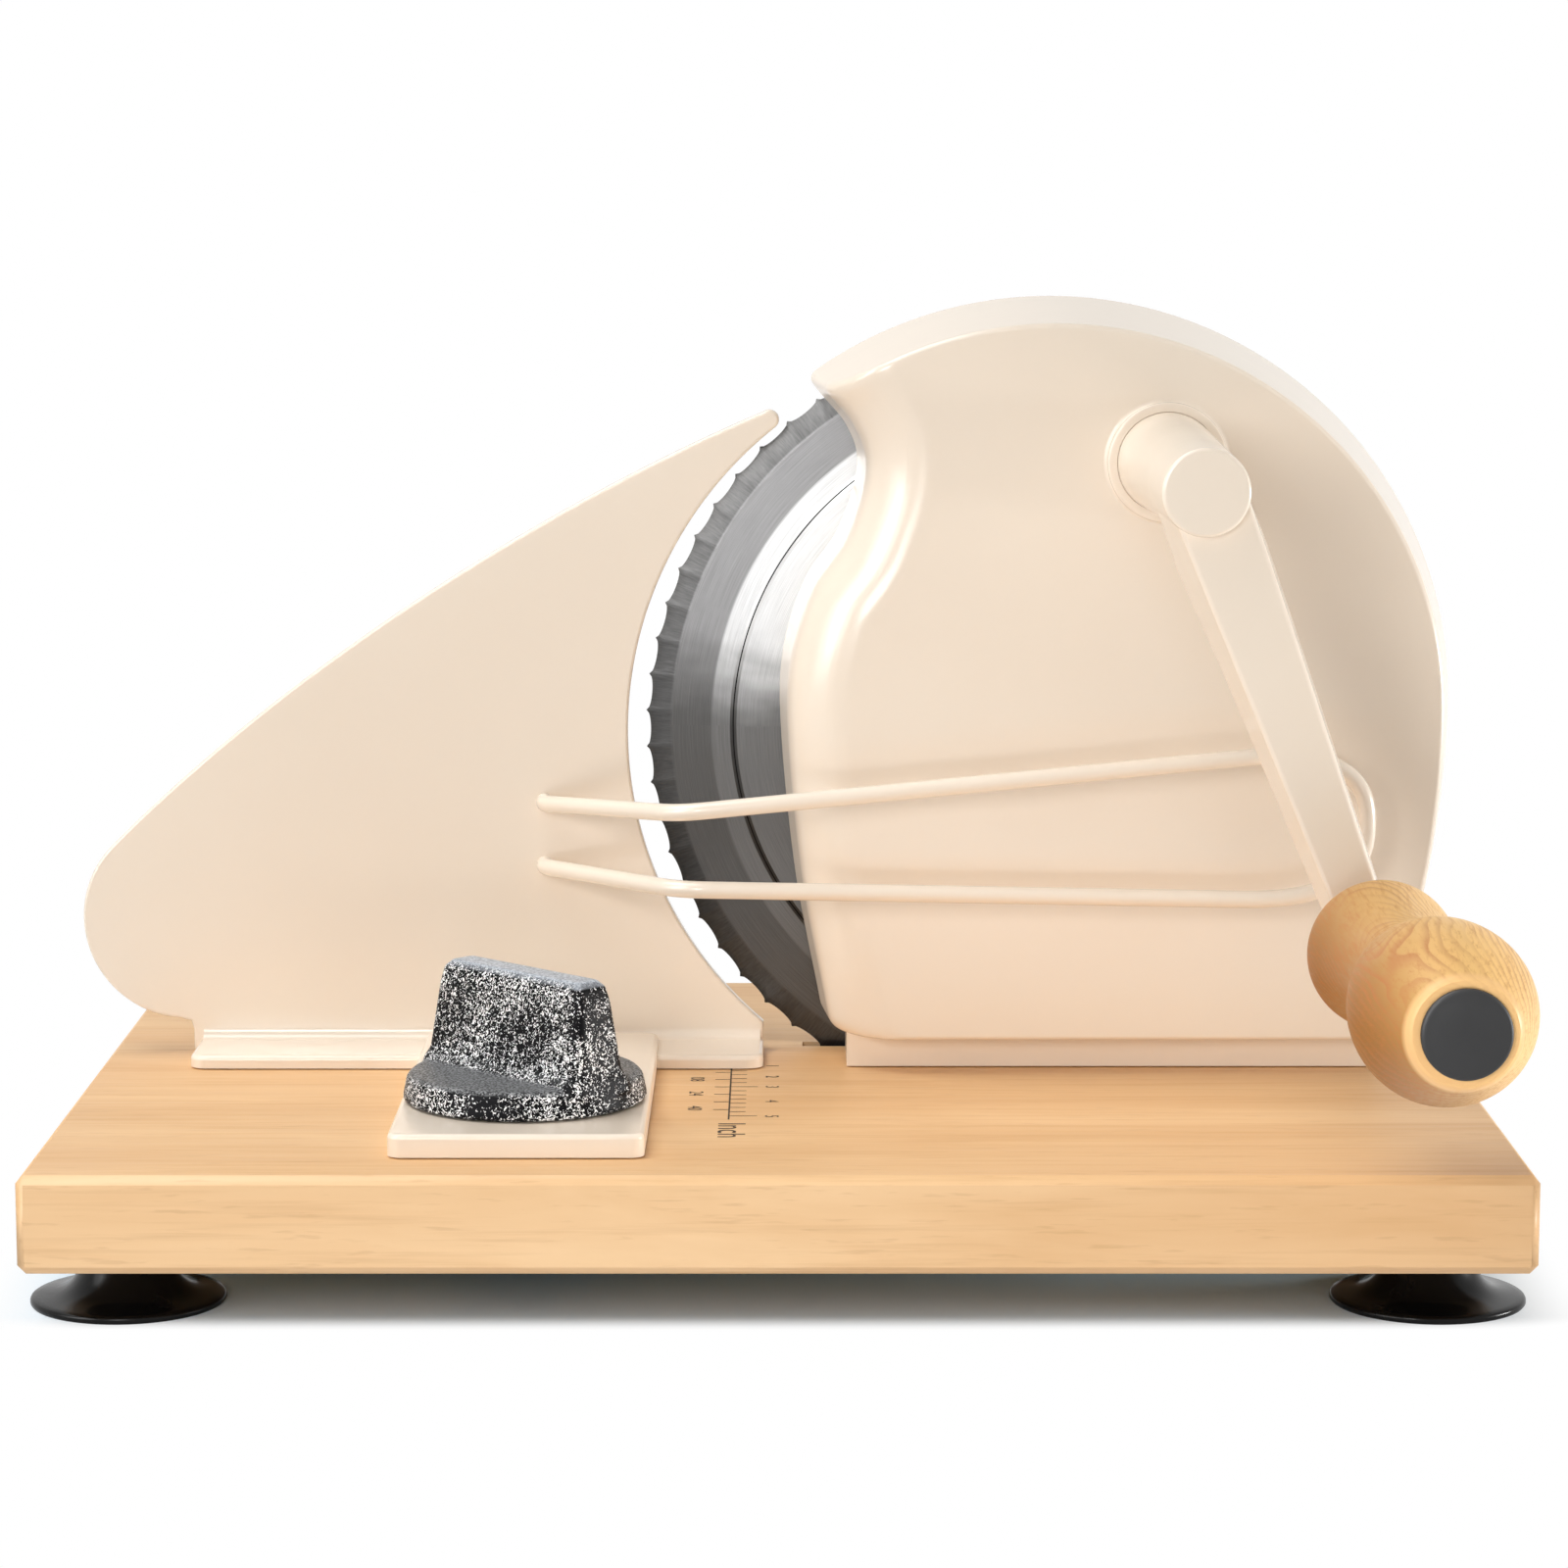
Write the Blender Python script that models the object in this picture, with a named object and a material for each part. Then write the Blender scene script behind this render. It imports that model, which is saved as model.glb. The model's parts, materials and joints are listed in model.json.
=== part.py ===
"""Hand-cranked bread slicer, every piece a separate solid at its real size.

Metres, +Z up. The crank side faces -Y and the cutting side +Y. Sizes are set
in the machine's own frame: X from the middle of the board, Y from the board's
front face and Z from the surface that the slicer stands on. The empty named
slicer_frame then puts the origin under the middle of the whole machine.
"""
import math

import bmesh
import bpy
from mathutils import Matrix, Vector

# Clearances
SEAT_GAP = 0.0003        # between two pieces that bear on each other
RUN_GAP = 0.0003         # radial, round a pin or a shaft

# Board
BOARD_LENGTH = 0.320
BOARD_DEPTH = 0.220
BOARD_THICKNESS = 0.0212
BOARD_EDGE = 0.0018      # flat chamfer along its edges

# Suction feet and their studs
FOOT_HEIGHT = 0.0148
FOOT_RADIUS = 0.0213
FOOT_NECK_RADIUS = 0.0103
FOOT_LIP_HEIGHT = 0.0016
FOOT_SKIRT_RISE = 0.0016  # slope of the skirt towards the neck
FOOT_NECK_RISE = 0.0053   # hollow sweep where the skirt meets the neck
FOOT_RIM_WIDTH = 0.0024  # flat ring that touches the table
FOOT_DOME = 0.0036       # height of the hollow underneath
FOOT_END_INSET = 0.018   # foot axis from the board's end
FOOT_FACE_INSET = 0.0365  # foot axis from the board's front or rear face
STUD_RADIUS = 0.003
STUD_IN_FOOT = 0.008
STUD_IN_BOARD = 0.012

# Blade
BLADE_RADIUS = 0.0946    # at the tips of its scallops
BLADE_THICKNESS = 0.0012
SCALLOPS = 68
SCALLOP_DEPTH = 0.00115
SCALLOP_STEPS = 3        # edge pieces along one scallop
SCALLOP_PHASE = math.radians(3.1)
BLADE_BEVEL = 0.006      # width of the ground edge
EDGE_THICKNESS = 0.0002
DISH_RADIUS = 0.073      # the middle is pressed forward inside this radius
DISH_DEPTH = 0.002
DISH_SLOPE = 0.0016
BLADE_X = 0.063
BLADE_RISE = 0.0775      # blade axis above the board
CUT_Y = 0.140            # the blade's flat cutting face

# Gear pair
GEAR_MODULE = 0.002
PINION_TEETH = 16
GEAR_TEETH = 54
PRESSURE_ANGLE = math.radians(20)
TOOTH_PLAY = 0.00016     # taken off each flank
ROOT_FLARE = 0.06        # radians over the tooth count, below the base circle
GEAR_WIDTH = 0.008
PINION_WIDTH = 0.009
CRANK_DIRECTION = math.radians(68.3)  # from the blade axis to the crank axis
GEAR_HUB_RADIUS = 0.024
BLADE_SCREW_CIRCLE = 0.016
BLADE_SCREW_COUNT = 3
BLADE_SCREW_RADIUS = 0.002
BLADE_SCREW_HEAD_RADIUS = 0.0036
BLADE_SCREW_HEAD = 0.0014
BLADE_SCREW_BITE = 0.006

# Blade axle, its bushing and its screw
AXLE_RADIUS = 0.006
GEAR_BUSH_WALL = 0.0026
AXLE_WASHER_RADIUS = 0.011
AXLE_WASHER_THICKNESS = 0.0014
AXLE_BOSS_RADIUS = 0.013
AXLE_ROOT = 0.0025       # solid wall left in front of the axle
AXLE_SCREW_RADIUS = 0.003
AXLE_SCREW_LENGTH = 0.012
AXLE_SCREW_HEAD_RADIUS = 0.010

# Gear housing
HOUSING_DEPTH = 0.0315
HOUSING_BLADE_GAP = 0.0013  # between its open rear and the dished blade
HOUSING_WALL = 0.0035
HOUSING_FACE_WALL = 0.004
RIM_COVER = 0.0010       # rim radius beyond the blade's
RIM_SHIFT_X = 0.0005
RIM_SHIFT_Z = 0.0065
RIM_DRAFT = 0.0056       # slope of the rim wall over the housing's depth
RIM_FILLET = 0.0012
COWL_DRAFT = 0.003
COWL_FILLET = 0.014
FLANK_RADIUS = 0.218     # flatter stretch below the rim on the crank side
GEAR_ROOM = 0.003        # between the gear's tips and the cowl's wall
# The cowl's free edge: angle about the blade axis in degrees, and how far
# the edge lies outside the circle that just clears the gear.
COWL_EDGE = (
    (-127.1, 0.0246), (-149.3, 0.0061), (180.0, 0.0), (163.0, 0.0023),
    (148.2, 0.0045), (135.9, 0.0057), (125.7, 0.0139), (123.3, 0.0231),
    (124.0, 0.0347),
)
BEAK_TRIM = 0.0028       # corner taken off the beak's tip
FOOT_CORNER_TRIM = 0.004
UNDERCUT = 0.008         # height of the shell's front edge over the board
PLINTH_SETBACK = 0.008
PLINTH_LEFT = -0.047     # from the blade axis
PLINTH_RIGHT = 0.077
REAR_EDGE_ROUND = 0.0006

# Screws that hold the housing, from under the board
HOUSING_SCREW_PLACES = {"left": -0.037, "middle": 0.015, "right": 0.066}  # X from the blade axis
HOUSING_SCREW_RADIUS = 0.0025
HOUSING_SCREW_BITE = 0.013
HOUSING_SCREW_HEAD_RADIUS = 0.0048
HOUSING_SCREW_HEAD = 0.003
HOUSING_WASHER_RADIUS = 0.0062
HOUSING_WASHER_THICKNESS = 0.0012
COUNTERBORE_DEPTH = 0.007
SCREW_BOSS_WALL = 0.003
SCREW_BOSS_ROOF = 0.002

# Crank bearing, shaft and hub
LIP_RADIUS = 0.0137
LIP_WIDTH = 0.0017
LIP_HEIGHT = 0.002
LIP_FILLET = 0.0010
SHAFT_RADIUS = 0.005
SHAFT_SQUARE = 0.007     # across the flats of the pinion's seat
BUSH_WALL = 0.003
BUSH_FLANGE_THICKNESS = 0.0012
CRANK_BOSS_WALL = 0.0037
PINION_Y = 0.1211        # front face of the pinion
PINION_SCREW_RADIUS = 0.002
PINION_SCREW_HEAD_RADIUS = 0.0042
PINION_SCREW_HEAD = 0.0022
PINION_WASHER_RADIUS = 0.0065
PINION_WASHER_THICKNESS = 0.001
PINION_SCREW_BITE = 0.010
HUB_LENGTH = 0.0922
HUB_REAR_RADIUS = 0.0115
HUB_FRONT_RADIUS = 0.0093
HUB_EDGE = 0.0009
SHAFT_IN_HUB = 0.046
SET_SCREW_RADIUS = 0.0025
SET_SCREW_FROM_REAR = 0.026
SET_SCREW_TURN = math.radians(45)  # below +X, on the side away from the grip

# Crank arm
CRANK_RADIUS = 0.1028  # crank axis to handle axis
CRANK_TURN = math.radians(21.0)  # from straight down towards +X
ARM_SETBACK = 0.0025     # arm's front face behind the hub's end face
# Sections of the arm: distance from the crank axis, half width of the front
# face, half width of the rear face, depth.
ARM_SECTIONS = (
    (0.0, 0.0080, 0.0094, 0.0255), (0.016, 0.0076, 0.0100, 0.0255),
    (0.038, 0.0069, 0.0089, 0.0190), (0.086, 0.0053, 0.0070, 0.0185),
    (CRANK_RADIUS, 0.0047, 0.0064, 0.0185),
)
ARM_EDGE = 0.0008
EYE_RADIUS = 0.0082
EYE_PROUD = 0.0006

# Handle, on a seat that leans a little up and away from the hub
GRIP_LIFT = math.radians(1.6)
GRIP_SPLAY = math.radians(1.4)
HANDLE_LENGTH = 0.105
HANDLE_BOLT_RADIUS = 0.004
HANDLE_BOLT_HEAD_RADIUS = 0.0068
HANDLE_BOLT_HEAD = 0.0045
HANDLE_WASHER_RADIUS = 0.0075
HANDLE_WASHER_THICKNESS = 0.001
HANDLE_NUT_RADIUS = 0.0072  # over its corners
HANDLE_NUT_THICKNESS = 0.005
HANDLE_BOLT_SPARE = 0.0014
CAP_RADIUS = 0.0087
CAP_RIM = 0.0010
CAP_DOME = 0.0008
CAP_PLUG_LENGTH = 0.005
CAP_PLUG_RADIUS = 0.0074
CAP_POCKET_DEPTH = 0.0115
# Turned profile of the grip: distance from the arm, radius.
GRIP_PROFILE = (
    (0.0, 0.0115), (0.0012, 0.0137), (0.0040, 0.0151), (0.0080, 0.0156),
    (0.0135, 0.0152), (0.0225, 0.0139), (0.0325, 0.0127), (0.0415, 0.0123),
    (0.0510, 0.0131), (0.0610, 0.0152), (0.0710, 0.0173), (0.0800, 0.0180),
    (0.0870, 0.0173), (0.0940, 0.0153), (0.1000, 0.0128), (0.1040, 0.0109),
    (0.1050, 0.0101),
)

# Stop plate
SLICE_AT_REST = 0.006    # plate's rear face in front of the cutting face
SLICE_MAX = 0.020
PLATE_THICKNESS = 0.004
PLATE_EDGE = 0.0008
ARC_SHIFT = 0.00685      # centre of the plate's hollow edge beside the blade axis
ARC_DROP = 0.0006        # and below it
ARC_GAP = 0.00405        # hollow edge to the blade's tips, level with the axis
TIP_ANGLE = math.radians(128.3)
TIP_WIDTH = 0.0046
TIP_SLOPE = math.radians(23)
NOSE_RADIUS = 0.0245
NOSE_RISE = 0.0325       # nose centre above the board
NOSE_OVERHANG = 0.0013   # nose centre beyond the foot's end
NOSE_ANGLE = math.radians(135)  # where the nose runs into the upper edge
BROW_HANDLE = 0.058      # fullness of the upper edge
TOE_HEIGHT = 0.0072      # where the hollow edge meets the foot's end
PLATE_FOOT_LENGTH = 0.136
FLANGE_THICKNESS = 0.003
FLANGE_REACH = 0.021     # flange in front of the plate
FLANGE_EDGE = 0.0012
FLANGE_FILLET = 0.0025
FLANGE_CORNER = 0.0038
FLANGE_INSET = 0.0016    # its nose end stands back from the plate's
PAD_WIDTH = 0.055
PAD_THICKNESS = 0.005
PAD_FRONT_Y = 0.0165
PAD_CORNER = 0.003

# Lock: knob, stud, washer and clamp nut, and the slot they slide in
KNOB_X = -0.056
KNOB_Y = 0.054
KNOB_RADIUS = 0.027
KNOB_RIM_HEIGHT = 0.0062
KNOB_TOP_RADIUS = 0.0255
WING_RISE = 0.0290       # top of the wing over the pad
WING_TURN = math.radians(-45)
# Wing sections from its root to its top: share of the rise above the rim,
# half length, half thickness, corner radius.
WING_SECTIONS = (
    (-0.10, 0.0262, 0.0105, 0.0042), (0.03, 0.0257, 0.0092, 0.0036),
    (0.12, 0.0250, 0.0075, 0.0028), (0.78, 0.0233, 0.0054, 0.0020),
    (0.93, 0.0225, 0.0046, 0.0017), (1.00, 0.0209, 0.0031, 0.0012),
)
LOCK_STUD_RADIUS = 0.004
LOCK_STUD_IN_KNOB = 0.014
LOCK_WASHER_RADIUS = 0.010
LOCK_WASHER_THICKNESS = 0.0014
NUT_SIDE = 0.024
NUT_THICKNESS = 0.005
NUT_SIDE_PLAY = 0.0004
GROOVE_DEPTH = 0.007
SLOT_WIDTH = 0.010
SLOT_END_PLAY = 0.0006
KEY_SIDE_PLAY = 0.0003
KEY_DROP = 0.008         # guide keys below the plate's foot
FRONT_KEY_START = -0.014  # from the lock's axis
FRONT_KEY_END = -0.007
REAR_KEY_START = 0.007
REAR_KEY_END = 0.055

# Slice guard: bent wire
WIRE_RADIUS = 0.002
WIRE_SOCKET = 0.0028     # depth of its holes in the plate
WIRE_BEND = 0.006
GUARD_REACH = 0.039      # rods in front of the plate
GUARD_LEFT_X = -0.0554   # where the rods enter the plate
GUARD_BEND_X = -0.0226
GUARD_RIGHT_X = 0.1343   # centre line of the end loop
UPPER_ROD_RISE = 0.0604  # heights over the board, at the plate
UPPER_BEND_RISE = 0.0634
UPPER_END_RISE = 0.0780
LOWER_ROD_RISE = 0.0453
LOWER_BEND_RISE = 0.0458
LOWER_END_RISE = 0.0430
LOOP_BEND = 0.017        # end loop's rounding, up its short side
LOOP_RUN = 0.028         # and along its rods

# Blade slot in the board
BLADE_SLOT_SIDE = 0.002  # room on each face of the blade
BLADE_SLOT_END = 0.003

# Roundness
FINE_SIDES = 12
SMALL_SIDES = 18
MID_SIDES = 24
LARGE_SIDES = 36

# Places that follow from the sizes
BOARD_TOP = FOOT_HEIGHT + BOARD_THICKNESS
BLADE_Z = BOARD_TOP + BLADE_RISE
CENTRE_DISTANCE = GEAR_MODULE * (PINION_TEETH + GEAR_TEETH) / 2
CRANK_X = BLADE_X + CENTRE_DISTANCE * math.cos(CRANK_DIRECTION)
CRANK_Z = BLADE_Z + CENTRE_DISTANCE * math.sin(CRANK_DIRECTION)
HANDLE_X = CRANK_X + CRANK_RADIUS * math.sin(CRANK_TURN)
HANDLE_Z = CRANK_Z - CRANK_RADIUS * math.cos(CRANK_TURN)
DISH_REAR_Y = CUT_Y - DISH_DEPTH
DISH_FRONT_Y = DISH_REAR_Y - BLADE_THICKNESS
HOUSING_REAR_Y = DISH_FRONT_Y - HOUSING_BLADE_GAP
HOUSING_FACE_Y = HOUSING_REAR_Y - HOUSING_DEPTH
HOUSING_BOTTOM = BOARD_TOP + UNDERCUT
RIM_RADIUS = BLADE_RADIUS + RIM_COVER
RIM_X = BLADE_X + RIM_SHIFT_X
RIM_Z = BLADE_Z + RIM_SHIFT_Z
GEAR_TIP_RADIUS = GEAR_MODULE * (GEAR_TEETH / 2 + 1)
COWL_COVER = GEAR_TIP_RADIUS + GEAR_ROOM + HOUSING_WALL
PLINTH_FRONT_Y = HOUSING_FACE_Y + PLINTH_SETBACK
HOUSING_SCREW_Y = (PLINTH_FRONT_Y + HOUSING_REAR_Y) / 2
GEAR_HUB_END_Y = DISH_FRONT_Y - SEAT_GAP
GEAR_Y = PINION_Y + (PINION_WIDTH - GEAR_WIDTH) / 2
AXLE_BOSS_END_Y = GEAR_Y - 2 * SEAT_GAP - AXLE_WASHER_THICKNESS
CRANK_BOSS_END_Y = PINION_Y - 2 * SEAT_GAP
BUSH_RADIUS = SHAFT_RADIUS + BUSH_WALL
BUSH_FLANGE_RADIUS = HUB_REAR_RADIUS - SEAT_GAP
LIP_BORE = LIP_RADIUS - LIP_WIDTH
BUSH_FLANGE_Y = HOUSING_FACE_Y - SEAT_GAP - BUSH_FLANGE_THICKNESS
HUB_REAR_Y = BUSH_FLANGE_Y - SEAT_GAP
HUB_FRONT_Y = HUB_REAR_Y - HUB_LENGTH
ARM_FRONT_Y = HUB_FRONT_Y + ARM_SETBACK
ARM_END_DEPTH = ARM_SECTIONS[-1][3]
EYE_FRONT_Y = ARM_FRONT_Y - EYE_PROUD
EYE_REAR_Y = ARM_FRONT_Y + ARM_END_DEPTH + EYE_PROUD
SHAFT_FRONT_Y = HUB_REAR_Y - SHAFT_IN_HUB
PINION_END_Y = PINION_Y + PINION_WIDTH
GRIP_REAR_Y = EYE_FRONT_Y - 2 * SEAT_GAP - HANDLE_WASHER_THICKNESS
GRIP_FRONT_Y = GRIP_REAR_Y - HANDLE_LENGTH
CAP_POCKET_Y = GRIP_FRONT_Y + CAP_POCKET_DEPTH
CAP_FRONT_Y = GRIP_FRONT_Y - SEAT_GAP - CAP_RIM - CAP_DOME
PLATE_REAR_Y = CUT_Y - SLICE_AT_REST
PLATE_FRONT_Y = PLATE_REAR_Y - PLATE_THICKNESS
PLATE_BOTTOM = BOARD_TOP + SEAT_GAP
ARC_RADIUS = BLADE_RADIUS + ARC_GAP - ARC_SHIFT
ARC_X = BLADE_X - ARC_SHIFT
ARC_RISE = BLADE_RISE - ARC_DROP
PLATE_FOOT_RIGHT = ARC_X - math.sqrt(ARC_RADIUS ** 2 - (ARC_RISE - TOE_HEIGHT) ** 2)
PLATE_FOOT_LEFT = PLATE_FOOT_RIGHT - PLATE_FOOT_LENGTH
NOSE_X = PLATE_FOOT_LEFT - NOSE_OVERHANG
NOSE_Z = BOARD_TOP + NOSE_RISE
FLANGE_FRONT_Y = PLATE_FRONT_Y - FLANGE_REACH
PAD_TOP = PLATE_BOTTOM + PAD_THICKNESS
TRAVEL_IN = SLICE_AT_REST
TRAVEL_OUT = SLICE_MAX - SLICE_AT_REST
KNOB_BOTTOM = PAD_TOP + SEAT_GAP
GROOVE_CEILING = FOOT_HEIGHT + GROOVE_DEPTH
NUT_TOP = GROOVE_CEILING - SEAT_GAP

# The origin: under the middle of the whole machine
FOOT_X = BOARD_LENGTH / 2 - FOOT_END_INSET
LEFT_EXTENT = min(NOSE_X - NOSE_RADIUS, -FOOT_X - FOOT_RADIUS, -BOARD_LENGTH / 2)
RIGHT_EXTENT = max(FOOT_X + FOOT_RADIUS, BOARD_LENGTH / 2, RIM_X + RIM_RADIUS)
MIDDLE_X = (LEFT_EXTENT + RIGHT_EXTENT) / 2
MIDDLE_Y = (BOARD_DEPTH + CAP_FRONT_Y) / 2

# Finishes: colour, roughness, metallic
FINISHES = {
    "cream_enamel": ((0.86, 0.79, 0.66), 0.28, 0.0),
    "beech": ((0.84, 0.60, 0.34), 0.50, 0.0),
    "grip_wood": ((0.83, 0.56, 0.27), 0.45, 0.0),
    "black_rubber": ((0.015, 0.015, 0.016), 0.25, 0.0),
    "blade_steel": ((0.62, 0.63, 0.65), 0.26, 1.0),
    "plain_steel": ((0.50, 0.50, 0.51), 0.35, 1.0),
    "bronze": ((0.55, 0.38, 0.17), 0.40, 1.0),
    "gear_nylon": ((0.80, 0.78, 0.72), 0.45, 0.0),
    "speckled_grey": ((0.20, 0.20, 0.21), 0.40, 0.3),
    "cap_plastic": ((0.045, 0.047, 0.050), 0.45, 0.0),
}


def clear_scene():
    for leftover in list(bpy.data.objects):
        bpy.data.objects.remove(leftover, do_unlink=True)


def finish(name):
    """The Principled material of that name, made once."""
    found = bpy.data.materials.get(name)
    if found:
        return found
    colour, roughness, metallic = FINISHES[name]
    made = bpy.data.materials.new(name)
    made.use_nodes = True
    shader = made.node_tree.nodes["Principled BSDF"]
    shader.inputs["Base Color"].default_value = (*colour, 1.0)
    shader.inputs["Roughness"].default_value = roughness
    shader.inputs["Metallic"].default_value = metallic
    return made


def body_empty(name, place, parent=None, lean=(0, 0, 0)):
    """An empty on a joint's axis, placed in the machine's own frame."""
    empty = bpy.data.objects.new(name, None)
    bpy.context.scene.collection.objects.link(empty)
    empty["place"] = place
    empty.rotation_euler = lean
    if parent is None:
        empty.location = (place[0] - MIDDLE_X, place[1] - MIDDLE_Y, place[2])
    else:
        empty.parent = parent
        empty.location = Vector(place) - Vector(parent["place"])
    return empty


def add_mesh_object(name, shape, body):
    """Link a bmesh given in the machine's frame under its body's empty."""
    bmesh.ops.translate(shape, verts=shape.verts, vec=-Vector(body["place"]))
    bmesh.ops.recalc_face_normals(shape, faces=shape.faces)
    mesh = bpy.data.meshes.new(name)
    shape.to_mesh(mesh)
    shape.free()
    made = bpy.data.objects.new(name, mesh)
    bpy.context.scene.collection.objects.link(made)
    made.parent = body
    return made


def add_piece(name, shape, body, finish_name):
    piece = add_mesh_object(name, shape, body)
    piece.data.materials.append(finish(finish_name))
    return piece


def combine(piece, shape, operation, label, body):
    """Boolean a helper solid, also given in the machine's frame, into a piece."""
    helper = add_mesh_object(f"{piece.name}_{label}", shape, body or piece.parent)
    helper.hide_render = True
    helper.display_type = "WIRE"
    boolean = piece.modifiers.new(label, "BOOLEAN")
    boolean.operation = operation
    boolean.solver = "EXACT"
    boolean.object = helper
    return helper


def join(piece, shape, label, body=None):
    return combine(piece, shape, "UNION", label, body)


def cut(piece, shape, label, body=None):
    return combine(piece, shape, "DIFFERENCE", label, body)


def round_edges(piece, width, segments=2, angle=30):
    bevel = piece.modifiers.new("rounding", "BEVEL")
    bevel.width = width
    bevel.segments = segments
    bevel.limit_method = "ANGLE"
    bevel.angle_limit = math.radians(angle)
    return bevel


def shade_round(piece, angle=35):
    piece.data.shade_smooth()
    piece.data.set_sharp_from_angle(angle=math.radians(angle))


def block(low, high):
    """A box between two corners."""
    shape = bmesh.new()
    bmesh.ops.create_cube(shape, size=1.0)
    for vert in shape.verts:
        vert.co = Vector(low[i] + (vert.co[i] + 0.5) * (high[i] - low[i]) for i in range(3))
    return shape


def turned(profile, centre, sides, axis="Y"):
    """Spin a closed profile of (radius, distance along the axis) pairs.

    Points on the axis close the solid there, and a profile that never touches
    the axis makes a ring.
    """
    shape = bmesh.new()
    rings = []
    for radius, along in profile:
        count = 1 if radius == 0 else sides
        ring = []
        for step in range(count):
            turn = 2 * math.pi * step / sides
            across, up = radius * math.cos(turn), radius * math.sin(turn)
            if axis == "Y":
                place = Vector((centre[0] + across, along, centre[1] + up))
            else:
                place = Vector((centre[0] + across, centre[1] + up, along))
            ring.append(shape.verts.new(place))
        rings.append(ring)
    pairs = list(zip(rings, rings[1:]))
    if profile[0][0] and profile[-1][0]:
        pairs.append((rings[-1], rings[0]))
    for first, second in pairs:
        for step in range(sides):
            after = (step + 1) % sides
            if len(first) == 1:
                shape.faces.new((first[0], second[step], second[after]))
            elif len(second) == 1:
                shape.faces.new((first[step], first[after], second[0]))
            else:
                shape.faces.new((first[step], first[after], second[after], second[step]))
    return shape


def rod(radius, start, end, centre, sides=SMALL_SIDES, axis="Y", chamfer=0.0):
    """A plain pin or the cutter for its hole."""
    profile = [(0, start), (radius - chamfer, start)]
    if chamfer:
        profile += [(radius, start + chamfer), (radius, end - chamfer)]
    profile += [(radius - chamfer, end), (0, end)]
    return turned(profile, centre, sides, axis)


def collar(outer, inner, start, end, centre, sides=SMALL_SIDES, axis="Y"):
    """A plain ring: washer, bushing or nut."""
    profile = ((inner, start), (outer, start), (outer, end), (inner, end))
    return turned(profile, centre, sides, axis)


def merged(shapes):
    """Several closed shapes as one bmesh of separate solids."""
    whole = bmesh.new()
    for shape in shapes:
        part = bpy.data.meshes.new("part")
        shape.to_mesh(part)
        shape.free()
        whole.from_mesh(part)
        bpy.data.meshes.remove(part)
    return whole


def extruded(outline, start_y, end_y):
    """Extrude an outline of (x, z) points along Y."""
    shape = bmesh.new()
    front = [shape.verts.new((x, start_y, z)) for x, z in outline]
    rear = [shape.verts.new((x, end_y, z)) for x, z in outline]
    shape.faces.new(front)
    shape.faces.new(reversed(rear))
    count = len(outline)
    for step in range(count):
        after = (step + 1) % count
        shape.faces.new((front[after], front[step], rear[step], rear[after]))
    return shape


def lofted(rings):
    """Skin a row of rings with equal counts, with flat ends."""
    shape = bmesh.new()
    made = [[shape.verts.new(point) for point in ring] for ring in rings]
    for first, second in zip(made, made[1:]):
        for step in range(len(first)):
            after = (step + 1) % len(first)
            shape.faces.new((first[step], first[after], second[after], second[step]))
    shape.faces.new(reversed(made[0]))
    shape.faces.new(made[-1])
    return shape


def arc(centre, radius, start, end, steps):
    """Points on a circle in the XZ plane, both ends included."""
    points = []
    for step in range(steps + 1):
        angle = start + (end - start) * step / steps
        points.append((centre[0] + radius * math.cos(angle), centre[1] + radius * math.sin(angle)))
    return points


def bezier(first, second, third, fourth, steps):
    """Points on a cubic curve, both ends included."""
    corners = [Vector(corner) for corner in (first, second, third, fourth)]
    points = []
    for step in range(steps + 1):
        t = step / steps
        weights = ((1 - t) ** 3, 3 * t * (1 - t) ** 2, 3 * t * t * (1 - t), t ** 3)
        point = sum((corner * weight for corner, weight in zip(corners, weights)), Vector((0, 0)))
        points.append(tuple(point))
    return points


def smooth_through(knots, steps):
    """Points on a Catmull-Rom curve through knots, steps points per span."""
    padded = [2 * knots[0] - knots[1], *knots, 2 * knots[-1] - knots[-2]]
    points = []
    for before, first, second, after in zip(padded, padded[1:], padded[2:], padded[3:]):
        for step in range(steps):
            t = step / steps
            points.append(0.5 * (
                2 * first + (second - before) * t
                + (2 * before - 5 * first + 4 * second - after) * t ** 2
                + (3 * first - before - 3 * second + after) * t ** 3))
    points.append(knots[-1].copy())
    return points


def path_length(points):
    return sum((after - before).length for before, after in zip(points, points[1:]))


def point_along(points, distance):
    for before, after in zip(points, points[1:]):
        span = (after - before).length
        if distance <= span:
            return before.lerp(after, distance / span)
        distance -= span
    return points[-1].copy()


def respaced(points, trim_start, trim_end, count):
    """Evenly spaced points on a path whose ends are trimmed."""
    whole = path_length(points)
    usable = whole - trim_start - trim_end
    return [point_along(points, trim_start + usable * step / (count - 1)) for step in range(count)]


# Base: board, feet, studs

def foot_places():
    for side in (-1, 1):
        for y, row in ((FOOT_FACE_INSET, "front"), (BOARD_DEPTH - FOOT_FACE_INSET, "rear")):
            yield f"{row}_{'left' if side < 0 else 'right'}", side * FOOT_X, y


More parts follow.
